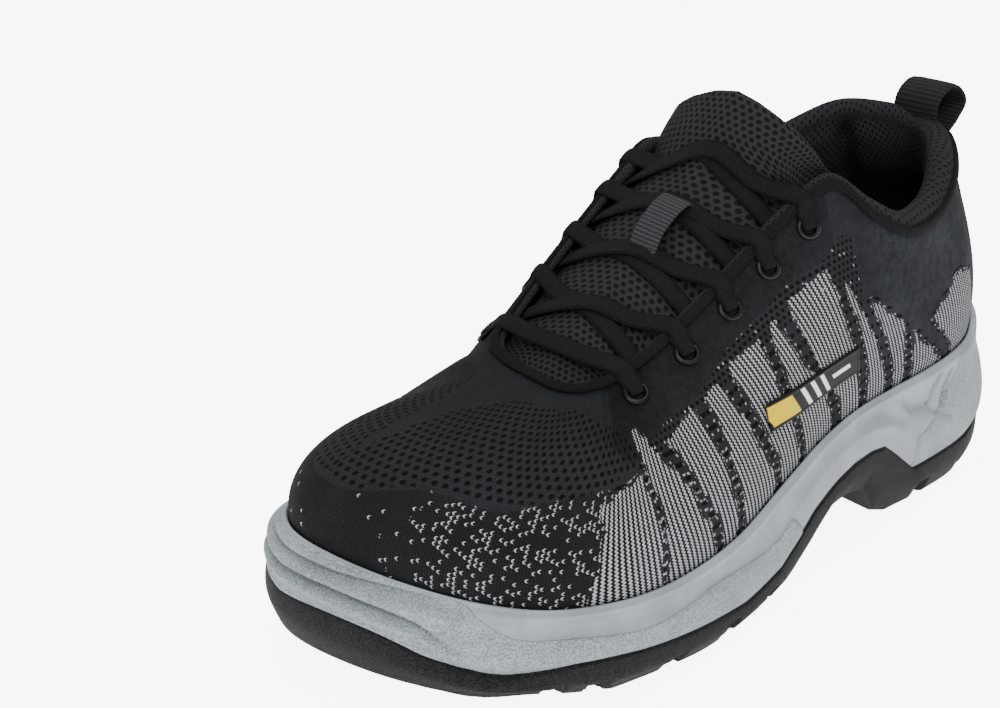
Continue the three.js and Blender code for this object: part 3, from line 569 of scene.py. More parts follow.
# Shared effects
def grain_net(tree, w):
    """Grain of moulded rubber and foam: height (mm) and a light mottle."""
    place = w["Place"]
    fine = cloud(tree, place, 2600.0, 2.0)
    cells = Wire(tree, add(tree, "TexVoronoi", Vector=place, Scale=1900.0).outputs["Distance"])
    mottle = cloud(tree, place, 60.0, 4.0)
    return (cells.rise(0.05, 0.6) * 0.20 + fine * 0.16) * w["Depth"], mottle


GRAIN = group("grain", {"Place": None, "Depth": 1.0}, ["Height", "Mottle"], grain_net)


def wear_net(tree, w):
    """Dust and grey scuffs in patches, more of them low down."""
    patchy = cloud(tree, w["Place"], 34.0, 5.0, 0.7)
    low = axes(tree, w["Place"])[2].rise(0.02, 0.0)
    return ((low * 0.45 + 0.12) * patchy.rise(0.48, 0.78) * w["Amount"],)


WEAR = group("wear", {"Place": None, "Amount": 1.0}, ["Dust"], wear_net)


def twill_net(tree, w):
    """Twill of a woven tape: fine slanting ribs; x across the tape and y along it, in millimetres."""
    x, y, pitch = w["X"], w["Y"], w["Pitch"]
    slant = zigzag((y + x.math("ABSOLUTE") * 0.6) / pitch)
    warp = zigzag(x / (pitch * 0.8))
    return slant * 0.10 + warp * 0.05, slant


TWILL = group("twill", {"X": 0.0, "Y": 0.0, "Pitch": 0.7}, ["Height", "Shade"], twill_net)


def mesh_net(tree, w):
    """Spacer mesh: staggered oval holes of the given pitch (mm)."""
    x, y = w["X"] / w["Pitch"], w["Y"] / w["Pitch"]
    row = (y * 1.1547).floor()
    shift = (row * 0.5).frac()
    cx = (x + shift).frac() - 0.5
    cy = ((y * 1.1547).frac() - 0.5) * 0.866
    far = (cx * cx + cy * cy).math("SQRT")
    hole = far - w["Hole"]
    inside = hole.rise(0.07, -0.07)
    knit = zigzag(w["X"] / 0.9) * zigzag(w["Y"] / 0.7)
    return inside, (1.0 - inside) * (0.85 + knit * 0.15)


MESH = group("spacer mesh", {"X": 0.0, "Y": 0.0, "Pitch": 4.2, "Hole": 0.22}, ["Hole", "Raised"], mesh_net)

COURSE, STITCH = 1.7, 1.15                     # width of a knit course and height of a stitch (mm)
FLECK_WIDE, FLECK_TALL = 1.5, 1.45             # cell of a fleck (mm)
VAMP_PITCH, BAND_PITCH = 3.3, 2.5              # openwork of the vamp and of the band (mm)


def knit_net(tree, w):
    """Knit face: rows of V stitches; x runs across the courses and y up them, in millimetres."""
    course, up = w["X"] / COURSE, w["Y"] / STITCH
    inside = course.frac() - 0.5
    leg = (up + inside.size() * 1.1).frac()
    ridge = 1.0 - (inside.size() * 2.0 - 0.5).size() * 2.0
    loop = zigzag(leg)
    return (ridge.high(0.0) * (loop * 0.7 + 0.3),)


KNIT = group("knit", {"X": 0.0, "Y": 0.0}, ["Height"], knit_net)

# Materials of this shoe
# Yarn colours, each with a darker copy painted in the stitches' hollows as shade
BLACK_YARN, BLACK_SHADED = linear(52, 53, 56), linear(5, 5, 6)
WHITE_YARN, WHITE_SHADED = linear(214, 216, 219), linear(96, 98, 102)


def upper_knit(tree):
    """Engineered knit: dark ground, white zigzag stripes, sparse flecks, openwork on top of the toe; stitches
    painted darker in their hollows and lighter on top as shade and highlight, holes painted near black as
    shade, a painted sheen on the rear.
    """
    x, y = chart_axes(tree)
    stripe, fleck, open_, stay = (mark(tree, n) for n in ("stripe", "fleck", "openwork", "eyestay"))
    crowd, rear, low = mark(tree, "crowd"), mark(tree, "rear"), mark(tree, "band")
    height, = use(tree, KNIT, X=x, Y=y)
    course, plain = (x / COURSE).floor(), stay.rise(-0.8, 0.8)
    # white stripes: a zigzag line in each course; a zone gains or loses whole courses in steps
    step = chance(tree, course, (y / 7.0).floor(), 3.0)
    fray = chance(tree, course, (y / STITCH).floor(), 4.0)
    inside = (stripe + (step - 0.5) * 1.6 + (fray - 0.5) * 0.7 + 0.35).rise(-0.15, 0.15)
    line = ((x / COURSE).frac() - 0.5 + (zigzag(y / STITCH) - 0.5) * 0.34).size()
    white = inside * line.rise(0.28, 0.18)
    # gaps between the stripes: sunken loops in their middle, painted near black below as shade, and small
    # white dots along their front edge
    gap = low.rise(0.4, -0.4) * open_.rise(0.0, -1.0) * stay.rise(0.0, -1.0) * fleck.rise(0.0, -1.0)
    spaced = zigzag(y / 3.1 + chance(tree, course, 0.0, 6.0)).rise(0.66, 0.80)
    dot = (stripe + 1.3).size().rise(0.45, 0.25) * spaced
    white = white.high(dot * gap * 0.75)
    blob = (stripe + 2.0).size().rise(1.0, 0.5) * zigzag(y / 4.6 + 0.3).rise(0.62, 0.78) * gap
    # flecks: single stitches picked by chance, crowded beside the toe and rare in front of it
    column = (x / FLECK_WIDE).floor()
    shifted = y / FLECK_TALL + (column * 0.5).frac()
    dice = chance(tree, column, shifted.floor(), 11.0)
    fx, fy = (x / FLECK_WIDE).frac() - 0.5, shifted.frac() - 0.5
    bend = (fx - fy * fy * 2.4 + 0.16).size().rise(0.25, 0.13) * fy.size().rise(0.44, 0.34)
    chosen = dice.math("LESS_THAN", crowd * 0.34 + 0.018)
    white = white.high(chosen * bend * fleck.rise(-0.8, 0.4) * stripe.rise(0.2, -0.4))
    # openwork: staggered holes on the vamp and finer ones in the band below the eyelets, with white specks
    hole, _ = use(tree, MESH, X=x, Y=y, Pitch=VAMP_PITCH, Hole=0.235)
    fine, _ = use(tree, MESH, X=x, Y=y, Pitch=BAND_PITCH, Hole=0.25)
    fine = fine * low.rise(-0.5, 0.5) * stripe.rise(0.1, -0.7)
    holes = (hole * open_.rise(-0.6, 0.6)).high(fine).high(blob)
    sx, sy = (x / BAND_PITCH).frac() - 0.5, (y / BAND_PITCH).frac() - 0.5
    pick = chance(tree, (x / BAND_PITCH).floor(), (y / BAND_PITCH).floor(), 5.0)
    likely = low.rise(3.5, 0.5) * 0.22 + 0.07
    speck = (sx * sx * 1.6 + sy * sy).math("SQRT").rise(0.24, 0.14) * pick.math("LESS_THAN", likely)
    white = white.high(low.rise(-0.5, 0.8) * speck * 0.75)
    place = coordinates(tree)
    nap = cloud(tree, place, 900.0, 2.0)
    broad = cloud(tree, place, 30.0, 3.0)
    sheen = rear * cloud(tree, place, 45.0, 3.0).rise(0.2, 0.8) * y.rise(95.0, 45.0)
    fine_rib = zigzag(x / 0.85 + y * 0.15)
    plain = plain.high(rear)
    relief_ground = height * (1.0 - plain) + fine_rib * plain * 0.8
    # stitch tops painted lighter and hollows darker from the knit's relief: painted highlight and shade,
    # mixed with random nap
    ground = paint(tree, relief_ground * 0.75 + nap * 0.35 - 0.05, BLACK_SHADED, BLACK_YARN)
    ground = paint(tree, plain * 0.5, ground, linear(12, 13, 15))
    ground = paint(tree, fleck.rise(-0.8, 0.4) * 0.5, ground, linear(5, 5, 6))
    ground = paint(tree, sheen * (fine_rib * 0.6 + 0.4) * 0.9, ground, linear(60, 64, 71))
    speckle = cloud(tree, place, 420.0, 3.0).rise(0.35, 0.7)
    ground = paint(tree, plain * speckle * 0.5, ground, linear(6, 6, 8))
    ground = paint(tree, broad.rise(0.35, 0.75) * 0.12, ground, linear(60, 61, 66))
    # white yarn painted darker in the stitches' hollows from the relief: painted shade, mixed with random nap
    pale = paint(tree, height * 0.4 + nap * 0.6, WHITE_SHADED, WHITE_YARN)
    colour = paint(tree, white, ground, pale)
    # holes, and the sunken loops in the gaps, painted near black: painted shade in them
    colour = paint(tree, holes, colour, linear(2, 2, 3))
    relief = relief_ground * 0.28 + white * 0.30 + nap * 0.12 - holes
    return colour, 0.86, relief


def lining_net(tree):
    """Mesh lining of the collar, finer than the tongue's; its holes painted near black as shade."""
    x, y = chart_axes(tree)
    hole, raised = use(tree, MESH, X=x, Y=y, Pitch=2.1, Hole=0.2)
    nap = fuzz(tree, 700.0)
    # raised mesh lighter, holes near black: painted shade in the holes
    colour = paint(tree, raised * 0.8 + nap * 0.2, linear(5, 5, 6), linear(38, 38, 41))
    return colour, 0.9, raised * 0.35 + nap * 0.05


def foam(tree):
    """Light grey foam: satin where smooth, pebbled where grained, a little dusty; painted shade in the
    grain's pits and in the heel's crease and slots, painted highlights on the grain's peaks.
    """
    place = coordinates(tree)
    grained = mark(tree, "grained").rise(0.35, 0.65)
    height, mottle = use(tree, GRAIN, Place=place, Depth=1.0)
    dust, = use(tree, WEAR, Place=place, Amount=1.0)
    crease = mark(tree, "crease")
    colour = paint(tree, mottle.rise(0.3, 0.75), linear(130, 138, 142), linear(150, 158, 161))
    # painted shade in the pits of the grain
    colour = paint(tree, grained * height.rise(0.26, 0.12) * 0.25, colour, linear(92, 99, 102))
    # painted highlights on the peaks of the grain
    colour = paint(tree, grained * height.rise(0.24, 0.34) * 0.5, colour, linear(188, 194, 196))
    # dust, and painted shade in the heel's crease and slots (the crease mark), in one grey
    colour = paint(tree, (dust + crease * 0.5).low(1.0), colour, linear(118, 121, 121))
    streak = cloud(tree, place, 18.0, 6.0, 0.75).rise(0.6, 0.68)
    colour = paint(tree, streak * 0.16, colour, linear(128, 131, 132))
    rough = 0.5 + grained * 0.16 + mottle * 0.06
    return colour, rough, height * (grained * 1.5 + 0.06)


def rubber(tree):
    """Black grained rubber with painted highlights on the peaks of its grain, patches of dust and worn,
    greyer edges.
    """
    place = coordinates(tree)
    height, mottle = use(tree, GRAIN, Place=place, Depth=1.2)
    dust, = use(tree, WEAR, Place=place, Amount=1.6)
    worn = mark(tree, "worn")
    colour = paint(tree, mottle.rise(0.3, 0.8), linear(7, 7, 8), linear(13, 13, 15))
    # painted highlights on the peaks of the grain
    colour = paint(tree, height.rise(0.24, 0.34) * 0.4, colour, linear(42, 43, 46))
    colour = paint(tree, (dust * 0.5 + worn * 0.35).low(1.0), colour, linear(62, 62, 61))
    return colour, 0.62 + mottle * 0.14, height * 1.7


def tongue_mesh(tree):
    """Coarse black spacer mesh, its holes painted near black as shade."""
    x, y = chart_axes(tree)
    hole, raised = use(tree, MESH, X=x, Y=y, Pitch=2.4, Hole=0.27)
    nap = fuzz(tree, 800.0)
    # raised mesh lighter, holes near black: painted shade in the holes
    colour = paint(tree, raised * 0.7 + nap * 0.3, linear(1, 1, 2), linear(44, 44, 46))
    return colour, 0.88, raised * 0.7 + nap * 0.06


def tape(dark, light, pitch, rib=0.0):
    """Woven tape coloured by the twill's painted shade; rib is the pitch of its cross ribs in millimetres, 0
    for plain twill, their valleys painted darker as shade.
    """

    def build(tree):
        x, y = chart_axes(tree)
        height, shade = use(tree, TWILL, X=x, Y=y, Pitch=pitch)
        nap = fuzz(tree, 900.0)
        colour = paint(tree, shade * 0.6 + nap * 0.4, dark, light)
        if rib:
            ribs = zigzag(y / rib).rise(0.15, 0.75)
            height = height * 0.4 + ribs * 0.30
            # valleys between the cross ribs painted darker: painted shade
            colour = paint(tree, ribs * 0.7 + 0.3, dark, colour)
        return colour, 0.8, height

    return build


LACE_WIDE, LACE_THICK = 6.0, 1.15              # mm


def flat_lace(tree):
    """Flat woven lace: fine twill with a furrow along each edge; twill and furrows painted darker as shade.
    """
    x, y = chart_axes(tree)
    girth = 2 * (LACE_WIDE + LACE_THICK)
    height, shade = use(tree, TWILL, X=x, Y=y, Pitch=0.5)
    nap = fuzz(tree, 1100.0)
    side = ((x / (girth / 2)).frac() - 0.5).size()
    furrow = (side - 0.26).size().rise(0.05, 0.01)
    colour = paint(tree, shade * 0.35 + nap * 0.65, linear(4, 4, 5), linear(26, 26, 28))
    # furrow painted darker: painted shade in it
    colour = paint(tree, furrow * 0.6, colour, linear(5, 5, 6))
    return colour, 0.8, height * 1.2 + nap * 0.08 - furrow * 0.3


def gunmetal(tree):
    """Dark polished metal with faint scratches."""
    place = coordinates(tree)
    scratch = cloud(tree, place, 260.0, 4.0)
    colour = paint(tree, scratch, linear(26, 27, 29), linear(46, 47, 50))
    return colour, 0.2 + scratch * 0.16, scratch * 0.02


CLOTH = {"Specular_IOR_Level": 0.12}
KNIT_FACE = finish("knit upper", upper_knit, **CLOTH)
LINING = finish("collar lining", lining_net, **CLOTH)
FOAM = finish("midsole foam", foam)
RUBBER = finish("outsole rubber", rubber, Specular_IOR_Level=0.2)
TONGUE_FACE = finish("tongue mesh", tongue_mesh, **CLOTH)
LACE_WEAVE = finish("lace weave", flat_lace, **CLOTH)
TRIM = finish("edge binding", tape(linear(9, 9, 10), linear(30, 30, 32), 0.6, 0.9), **CLOTH)
WEBBING = finish("ribbed webbing", tape(linear(22, 22, 24), linear(78, 79, 82), 0.6, 1.3), **CLOTH)
LOOP_TAPE = finish("loop webbing", tape(linear(14, 14, 16), linear(48, 46, 50), 0.7, 1.6), **CLOTH)
METAL = finish("gunmetal", gunmetal, Metallic=0.9)


# Upper, one torus of rings from under its edge, up outside, over the top edge and down inside
AROUND = 640
RIM_CHART = 9.0                    # chart length of the rim's half round (mm)
CHART_T = 0.3                      # share of height at which the courses are counted off
CHART_ROUND = 632.4                # way round the foot at that height (mm), a whole number of four courses
LEAN = [[0, 4.4, 5, 6, 10, 11, 12, 13, 16], [0, 0, -0.6, -1.2, -1.2, -0.8, -0.3, 0, 0]]   # steps, lean
# Folds of the knit: height (mm), lean, step, width (steps), and the shares of height it runs from and to
FOLDS = [(-0.9, 1.6, 6.2, 0.35, 0.15, 0.95), (0.5, 1.6, 6.9, 0.4, 0.15, 0.95), (-0.8, 1.3, 8, 0.4, 0.1, 0.9),
         (-0.6, -0.8, 9.6, 0.5, 0.2, 2)]


def inner_share(u):
    """1 on the inner side of the foot and 0 on the outer."""
    return (np.mod(u, STEPS) > STEPS / 2).astype(float)


def chart_lean(u):
    """How far the courses lean: steps forward per share of height, none at the toe and the heel."""
    return np.interp(mirror(u), *LEAN)


def way_round(u):
    """Distance round the foot (mm) at the chart's height, from the toe, scaled to CHART_ROUND."""
    steps = np.linspace(0, STEPS, 1281)
    run = run_along(skin(steps, CHART_T))
    return np.interp(u, steps, run) * CHART_ROUND / run[-1]


def chart_of(u, t):
    """Chart coordinates (mm) of points on the upper's face: across the courses and up them."""
    u, t = np.broadcast_arrays(np.asarray(u, float), np.asarray(t, float))
    side = np.where(inner_share(u) > 0, -1, 1)
    back = u - side * chart_lean(u) * (t - CHART_T)
    return way_round(np.clip(back, 0, STEPS)), height_up(u, t)


def height_up(u, t):
    """Length of the face from the sole line up to t (mm)."""
    rows, cols = 24, 4 * STEPS
    line = skin(np.linspace(0, STEPS, cols + 1)[:, None], np.linspace(0, 1, rows + 1)[None, :])
    run = np.pad(np.cumsum(np.linalg.norm(np.diff(line, axis=1), axis=2), 1), ((0, 0), (1, 0)))
    i, share = cell(np.clip(u, 0, STEPS) * 4, cols)
    j, rest = cell(np.clip(t, 0, 1) * rows, rows)
    low, high = (blend(run[k, j], run[k, j + 1], rest) for k in (i, i + 1))
    return blend(low, high, share)


# Zones of the white stripes: corners (step, share of height) of their left and right edges
STRIPES = [
    ([(5.09, .496), (4.82, .468), (4.59, .443), (4.46, .42), (4.55, .33), (4.53, .21), (4.44, .0)],
     [(5.11, .496), (5.3, .394), (5.44, .256), (5.49, .19), (5.45, .138), (5.5, .0)]),
    ([(5.09, .693), (5.11, .645), (5.28, .527), (5.42, .422), (5.54, .353), (5.64, .172), (5.68, .0)],
     [(5.18, .693), (5.38, .599), (5.66, .507), (5.9, .42), (6.09, .325), (6.33, .177), (6.55, .0)]),
    ([(5.8, .573), (5.95, .502), (6.28, .317), (6.62, .141), (6.77, .0)],
     [(6.38, .629), (6.58, .468), (6.69, .384), (6.76, .3), (6.91, .131), (6.93, .0)]),
    ([(6.69, .629), (6.79, .473), (6.96, .284), (7.13, .105), (7.17, .0)],
     [(6.96, .634), (7.24, .432), (7.53, .228), (7.72, .113), (7.84, .0)]),
    ([(7.24, .66), (7.41, .458), (7.6, .328), (7.72, .241), (8.04, .0)],
     [(7.82, .647), (7.89, .54), (7.97, .412), (8.11, .269), (8.27, .131), (8.37, .0)]),
    ([(8.11, .657), (8.11, .568), (8.18, .399), (8.33, .233), (8.49, .098), (8.56, .0)],
     [(8.21, .65), (8.33, .553), (8.59, .363), (8.99, .174), (9.12, .092), (9.2, .0)]),
    ([(8.49, .668), (8.63, .553), (8.92, .325), (9.26, .169), (9.47, .077), (9.57, .0)],
     [(9.42, .66), (9.52, .558), (9.6, .443), (9.78, .3), (9.88, .177), (10.03, .0)]),
    ([(9.83, .55), (10.0, .422), (10.1, .34), (10.24, .179), (10.29, .0)],
     [(9.91, .545), (10.1, .435), (10.27, .358), (10.51, .241), (10.68, .123), (10.79, .0)]),
    ([(10.5, .471), (10.79, .297), (10.87, .246), (11.05, .064), (11.1, .0)],
     [(10.56, .478), (10.94, .43), (11.25, .361), (11.23, .236), (11.25, .0)]),
    ([(11.47, .29), (11.5, .19), (11.55, .0)], [(11.53, .289), (11.7, .215), (12.01, .123), (12.36, .0)]),
    ([(12.98, .49), (12.66, .438), (12.35, .394), (12.07, .333), (12.25, .251), (12.52, .144), (12.8, .0)],
     [(13.12, .499), (13.4, .45), (13.7, .4), (13.75, .1), (13.8, .0)]),
]
FLECK_TOP = [(-1.0, .27), (.61, .289), (1.8, .42), (2.9, .386), (3.74, .471), (4.54, .489), (5.3, .4)]
OPEN_TOP = [(-3, .33), (0, .36), (.41, .742), (1.52, .888), (3.65, .872), (4.78, .719), (5.2, .6)]
OPEN_LOW = [(-3, .32), (.0, .33), (.61, .30), (1.63, .425), (2.48, .432), (3.46, .448), (4.37, .496),
            (4.82, .53), (5.2, .56)]
STAY_LOW = [(4.2, .74), (5.11, .527), (5.57, .647), (6.6, .652), (7.27, .726), (8.13, .724), (8.69, .739),
            (9.33, .696), (9.6, .698), (9.9, .75)]
BAND_LOW = [(5.32, .509), (5.8, .581), (6.65, .622), (7.25, .596), (8.25, .606), (9.45, .548), (10.5, .47)]


def between(points, k):
    """Height share of a line of points at step k."""
    p = np.array(points)
    return sum(np.interp(k + d, p[:, 0], p[:, 1]) for d in (-0.2, -0.1, 0, 0.1, 0.2)) / 5


def to_segment(x, y, start, end):
    """Distance of points to a segment, and the share of the way along it."""
    (ax, ay), (ex, ey) = start, end - start
    s = np.clip(((x - ax) * ex + (y - ay) * ey) / max(ex * ex + ey * ey, 1e-9), 0, 1)
    return np.hypot(x - ax - s * ex, y - ay - s * ey), s


def inside_of(polygon, x, y):
    """Signed distance to a closed outline: positive inside, in the outline's unit."""
    best, odd = np.full(x.shape, 1e9), np.zeros(x.shape, bool)
    for start, end in zip(polygon, np.roll(polygon, -1, axis=0)):
        (ax, ay), (bx, by) = start, end
        best = np.minimum(best, to_segment(x, y, start, end)[0])
        if ay != by:
            odd ^= ((ay > y) != (by > y)) & (x < ax + (y - ay) / (by - ay) * (bx - ax))
    return np.where(odd, best, -best)


FAR = 30.0                         # distances to a zone's edge are kept up to this (mm)


def upper_marks(u, t):
    """Distances (mm) inside each zone of the pattern, for points at step u and share t."""
    k = mirror(u)
    x, y = chart_of(k, t)
    stripe = np.full(x.shape, -FAR)
    for left, right in STRIPES:
        outline = np.stack(chart_of(*np.array(left + right[::-1]).T), 1)
        stripe = np.maximum(stripe, inside_of(outline, x, y))
    tall = height_up(k, np.ones_like(t))
    mm = lambda line: (between(line, k) - t) * tall
    fleck = np.minimum(mm(FLECK_TOP), (5.0 - k) * STEP_MM)
    opened = np.minimum(np.minimum(mm(OPEN_TOP), -mm(OPEN_LOW)), (5.1 - k) * STEP_MM)
    stay = np.minimum(-mm(STAY_LOW), np.minimum(k - 4.6, 9.8 - k) * STEP_MM)
    band = np.minimum(np.minimum(mm(STAY_LOW), -mm(BAND_LOW)), np.minimum(k - 5.2, 10.3 - k) * STEP_MM)
    zones = {"stripe": stripe, "fleck": fleck, "openwork": opened, "eyestay": stay, "band": band}
    zones = {key: np.clip(distance, -FAR, FAR) for key, distance in zones.items()}
    return zones | {"crowd": ease((k - 1.3) / 1.1), "rear": ease((k - 9.5) / 2)}


def folds(u, t):
    """Soft troughs and swells of the worn knit (mm, inwards negative): each is a bell across a line that
    leans with height, faded by smooth steps; then a swell beside the eyestay and a hollow at the ankle."""
    k = mirror(u)
    out = sum(rise * trough(k + lean * t, step, wide) * ease((t - low) / 0.3) * ease((high - t) / 0.2)
              for rise, lean, step, wide, low, high in FOLDS)
    beside_stay = trough(t, between(STAY_LOW, k) + 0.06, 0.05)
    beside_stay = beside_stay * ease((k - 4.8) / 0.6) * ease((9.8 - k) / 0.6)
    ankle = trough(k, 12.2, 0.8) * trough(t, 0.72, 0.16) * (1 - inner_share(u))
    return out + 0.7 * beside_stay - ankle


def padding(u, t):
    """How far the collar's pads swell inwards (mm): smooth steps up and down with height, times bells round
    the heel, where a deep crease parts the pads."""
    pad = section(10, u) * ease((t - 0.45) / 0.25) * ease((1.0 - t) / 0.1)
    return pad * (1.4 - 4.4 * trough(u, 17.9, 0.22) + 0.9 * trough(u, 18.6, 0.5) + 0.9 * trough(u, 17.2, 0.5))


def build_upper():
    """Rings round the foot: outer face with folds, a half-round over the top edge, inner face a wall's
    thickness in, and strips down behind the midsole's lip."""
    u = steps_round(AROUND)

    def under(depth, out):
        """Ring from the sole line (depth 0) down to the cup's bed (depth 1), drawn in with the square."""
        p = foot(u)
        bottom = sole(3, p[:, 1]) + GAP
        p = p + outward(foot, u) * (out - 1.6 * depth**2)[:, None]
        p[:, 2] = blend(p[:, 2], bottom, depth)
        return p

    top, n, half = arc(u, 1.0), across(u, 1.0), wall(u, 1.0)[:, None] / 2
    up = unit(top - arc(u, 0.98))
    turns = np.radians(np.arange(22.5, 180, 22.5))
    lines = [(-0.01, under(depth, 0 * u)) for depth in (1.0, 0.5)]                # share of height, ring
    for t in (*np.linspace(0, 0.94, 60), 0.96, 0.98, 1.0):
        lines.append((t, skin(u, t, folds(u, t + 0 * u) * ease(t / 0.12) * ease((1 - t) / 0.1))))
    lines += [(1, top + n * half * (np.cos(a) - 1) + up * half * np.sin(a)) for a in turns]
    first_inner = len(lines)
    lines += [(t, skin(u, t, -wall(u, t) - padding(u, t))) for t in np.linspace(1, 0, 30)]
    lines += [(0, under(depth, -wall(u, 0.0))) for depth in (0.5, 1.0)]
    rings, rows = np.array([ring for _, ring in lines]), len(lines)
    share = np.clip([t for t, _ in lines], 0, 1)[:, None]
    faces, chart_faces = corners(rows, AROUND, around=True, over=True)
    x, y = chart_of(np.append(u, STEPS), share)
    past_rim = np.zeros(rows)                      # the chart runs on over the rim, and down the inside
    past_rim[first_inner - len(turns):first_inner] = np.arange(1, len(turns) + 1) * 1.2
    past_rim[first_inner:] = RIM_CHART
    y = y + past_rim[:, None]
    y[:2] -= np.array([[8.0], [4.0]])
    y[first_inner:] = 2 * y[first_inner - 1] - y[first_inner:] + RIM_CHART
    marks = upper_marks(*np.broadcast_arrays(u, share))
    slots = np.repeat(np.arange(rows) >= first_inner - 1 - len(turns), AROUND).astype(int)
    chart = np.stack([x, y], -1)
    chart = np.concatenate([chart, chart[:1]])
    piece("upper", rings, faces, [KNIT_FACE, LINING], ["upper"], chart, chart_faces, marks, slots)


build_upper()


# Midsole
TOE_FACE = [(0, 5.6), (0.2, 7.4), (0.4, 7.2), (0.58, 6.6), (0.8, 5.6), (0.93, 4.0), (1, 1.8)]
ROLL_GROOVES = [[(-1, .80), (0, .805), (.89, .836), (1.62, .899), (2.16, .912), (3, .95)],
                [(-1, .58), (0, .579), (1.03, .648), (2.18, .572), (2.86, .226)]]
GRAIN_TOP = [(0, 1.3), (2.61, 1.05), (2.88, .943), (3.15, .736), (3.42, .585), (4.27, .509), (5.06, .421),
             (5.46, .453), (6.47, .604), (6.95, .566), (7.66, .453), (8.03, .478), (8.42, .566), (9, .6)]
GRAIN_HEEL = [(0, 11.54), (.308, 11.64), (.491, 12.3), (.786, 12.8), (1, 12.91)]   # up, step
HEEL_CREASE = [(11.1, .80), (11.27, .767), (11.91, .629), (12.51, .377), (12.6, .33)]
ARCH_RIDGE = [(9.7, .60), (10.08, .547), (10.66, .465), (11.29, .384), (11.7, .252)]
HEEL_SLOTS = [[(12.24, .881), (12.08, .623)], [(12.62, .83), (12.39, .541)]]
TOE_JOINT = [(-1, 4.2), (0, 4.8), (.54, 6.1), (1.03, 6.6), (1.43, 6.5), (1.82, 6), (2.32, 3.6), (2.7, 1.2),
             (3.1, 0)]                              # step, how far the joint climbs (mm)


def joint(u):
    """Height of the joint of outsole and midsole, which climbs round the toe."""
    return sole(4, foot(u)[..., 1]) + between(TOE_JOINT, mirror(u)) * ease((3.1 - mirror(u)) / 0.3)


def along_line(points, x, y):
    """Distance to an open line, and the share of the way along it of the nearest place."""
    p = np.array(points)
    best, where, run = np.full(x.shape, 1e9), np.zeros(x.shape), 0.0
    total = np.hypot(*np.diff(p, axis=0).T).sum()
    for start, end in zip(p[:-1], p[1:]):
        d, s = to_segment(x, y, start, end)
        length = np.hypot(*(end - start))
        best, where = np.where(d < best, (d, (run + s * length) / total), (best, where))
        run += length
    return best, where


def side_height(u):
    """Height of the midsole's side from the joint to the lip (mm)."""
    return section(2, u) * HEEL - sole(4, foot(u)[..., 1]) - GAP


def on_side(points):
    """Points (step, up) in millimetres on the side face: way round and height."""
    p = np.array(points, float)
    return np.stack([way_round(p[:, 0]), p[:, 1] * side_height(p[:, 0])], 1)


def side_relief(u, up):
    """What the midsole's side carries on its smooth face (mm out): smooth steps where it is grained, a bell
    along the crease and the ridge, and slots with soft walls. Also how far inside its grained part a point
    lies, and how much painted shade its hollows (crease and slots) get."""
    k = mirror(u)
    x, y = way_round(k), up * side_height(k)
    front = (between(GRAIN_TOP, k) - up) * side_height(k)
    front = np.where(k > 8.0, front - 30 * ease((k - 8.0) / 0.7), front)
    heel = (k - np.interp(up, *np.array(GRAIN_HEEL).T)) * STEP_MM
    grained = np.maximum(front, heel)
    out = 0.7 * ease(front / 1.6 + 0.5) * (1 - toe_share(u)) * ease((k - 2.8) / 0.6)
    out = out + 0.5 * ease(heel / 1.6 + 0.5)
    crease, share = along_line(on_side(HEEL_CREASE), x, y)
    out = out - 1.4 * trough(crease, 0, 1.6) * ease(share / 0.25) * ease((1 - share) / 0.2)
    ridge, share = along_line(on_side(ARCH_RIDGE), x, y)
    out = out + 1.3 * trough(ridge, 0, 2.6) * ease(share / 0.4) * ease((1 - share) / 0.3)
    # painted shade along the crease and in the slots
    dark = trough(crease, 0, 1.1)
    for slot in HEEL_SLOTS:
        d, _ = along_line(on_side(slot), x, y)
        out = out - 2.4 * ease((1.7 - d) / 0.9)
        dark = np.maximum(dark, ease((1.7 - d) / 0.7))
    return out, grained, dark


def toe_profile(u, up):
    """Toe part of the side face: a curve through TOE_FACE less a bell along each of two grooves, which
    leaves three rolls."""
    p = np.array(TOE_FACE)
    out = through(p[:, 1], np.interp(up, p[:, 0], np.arange(len(p))))
    k = mirror(u)
    for line in ROLL_GROOVES:
        fade = ease((line[-1][0] - k) / 0.9)
        out = out - 3.3 * trough(up, between(line, k), 0.05) * fade
        out = out + 0.8 * trough(up, between(line, k) - 0.11, 0.08) * fade
    return out


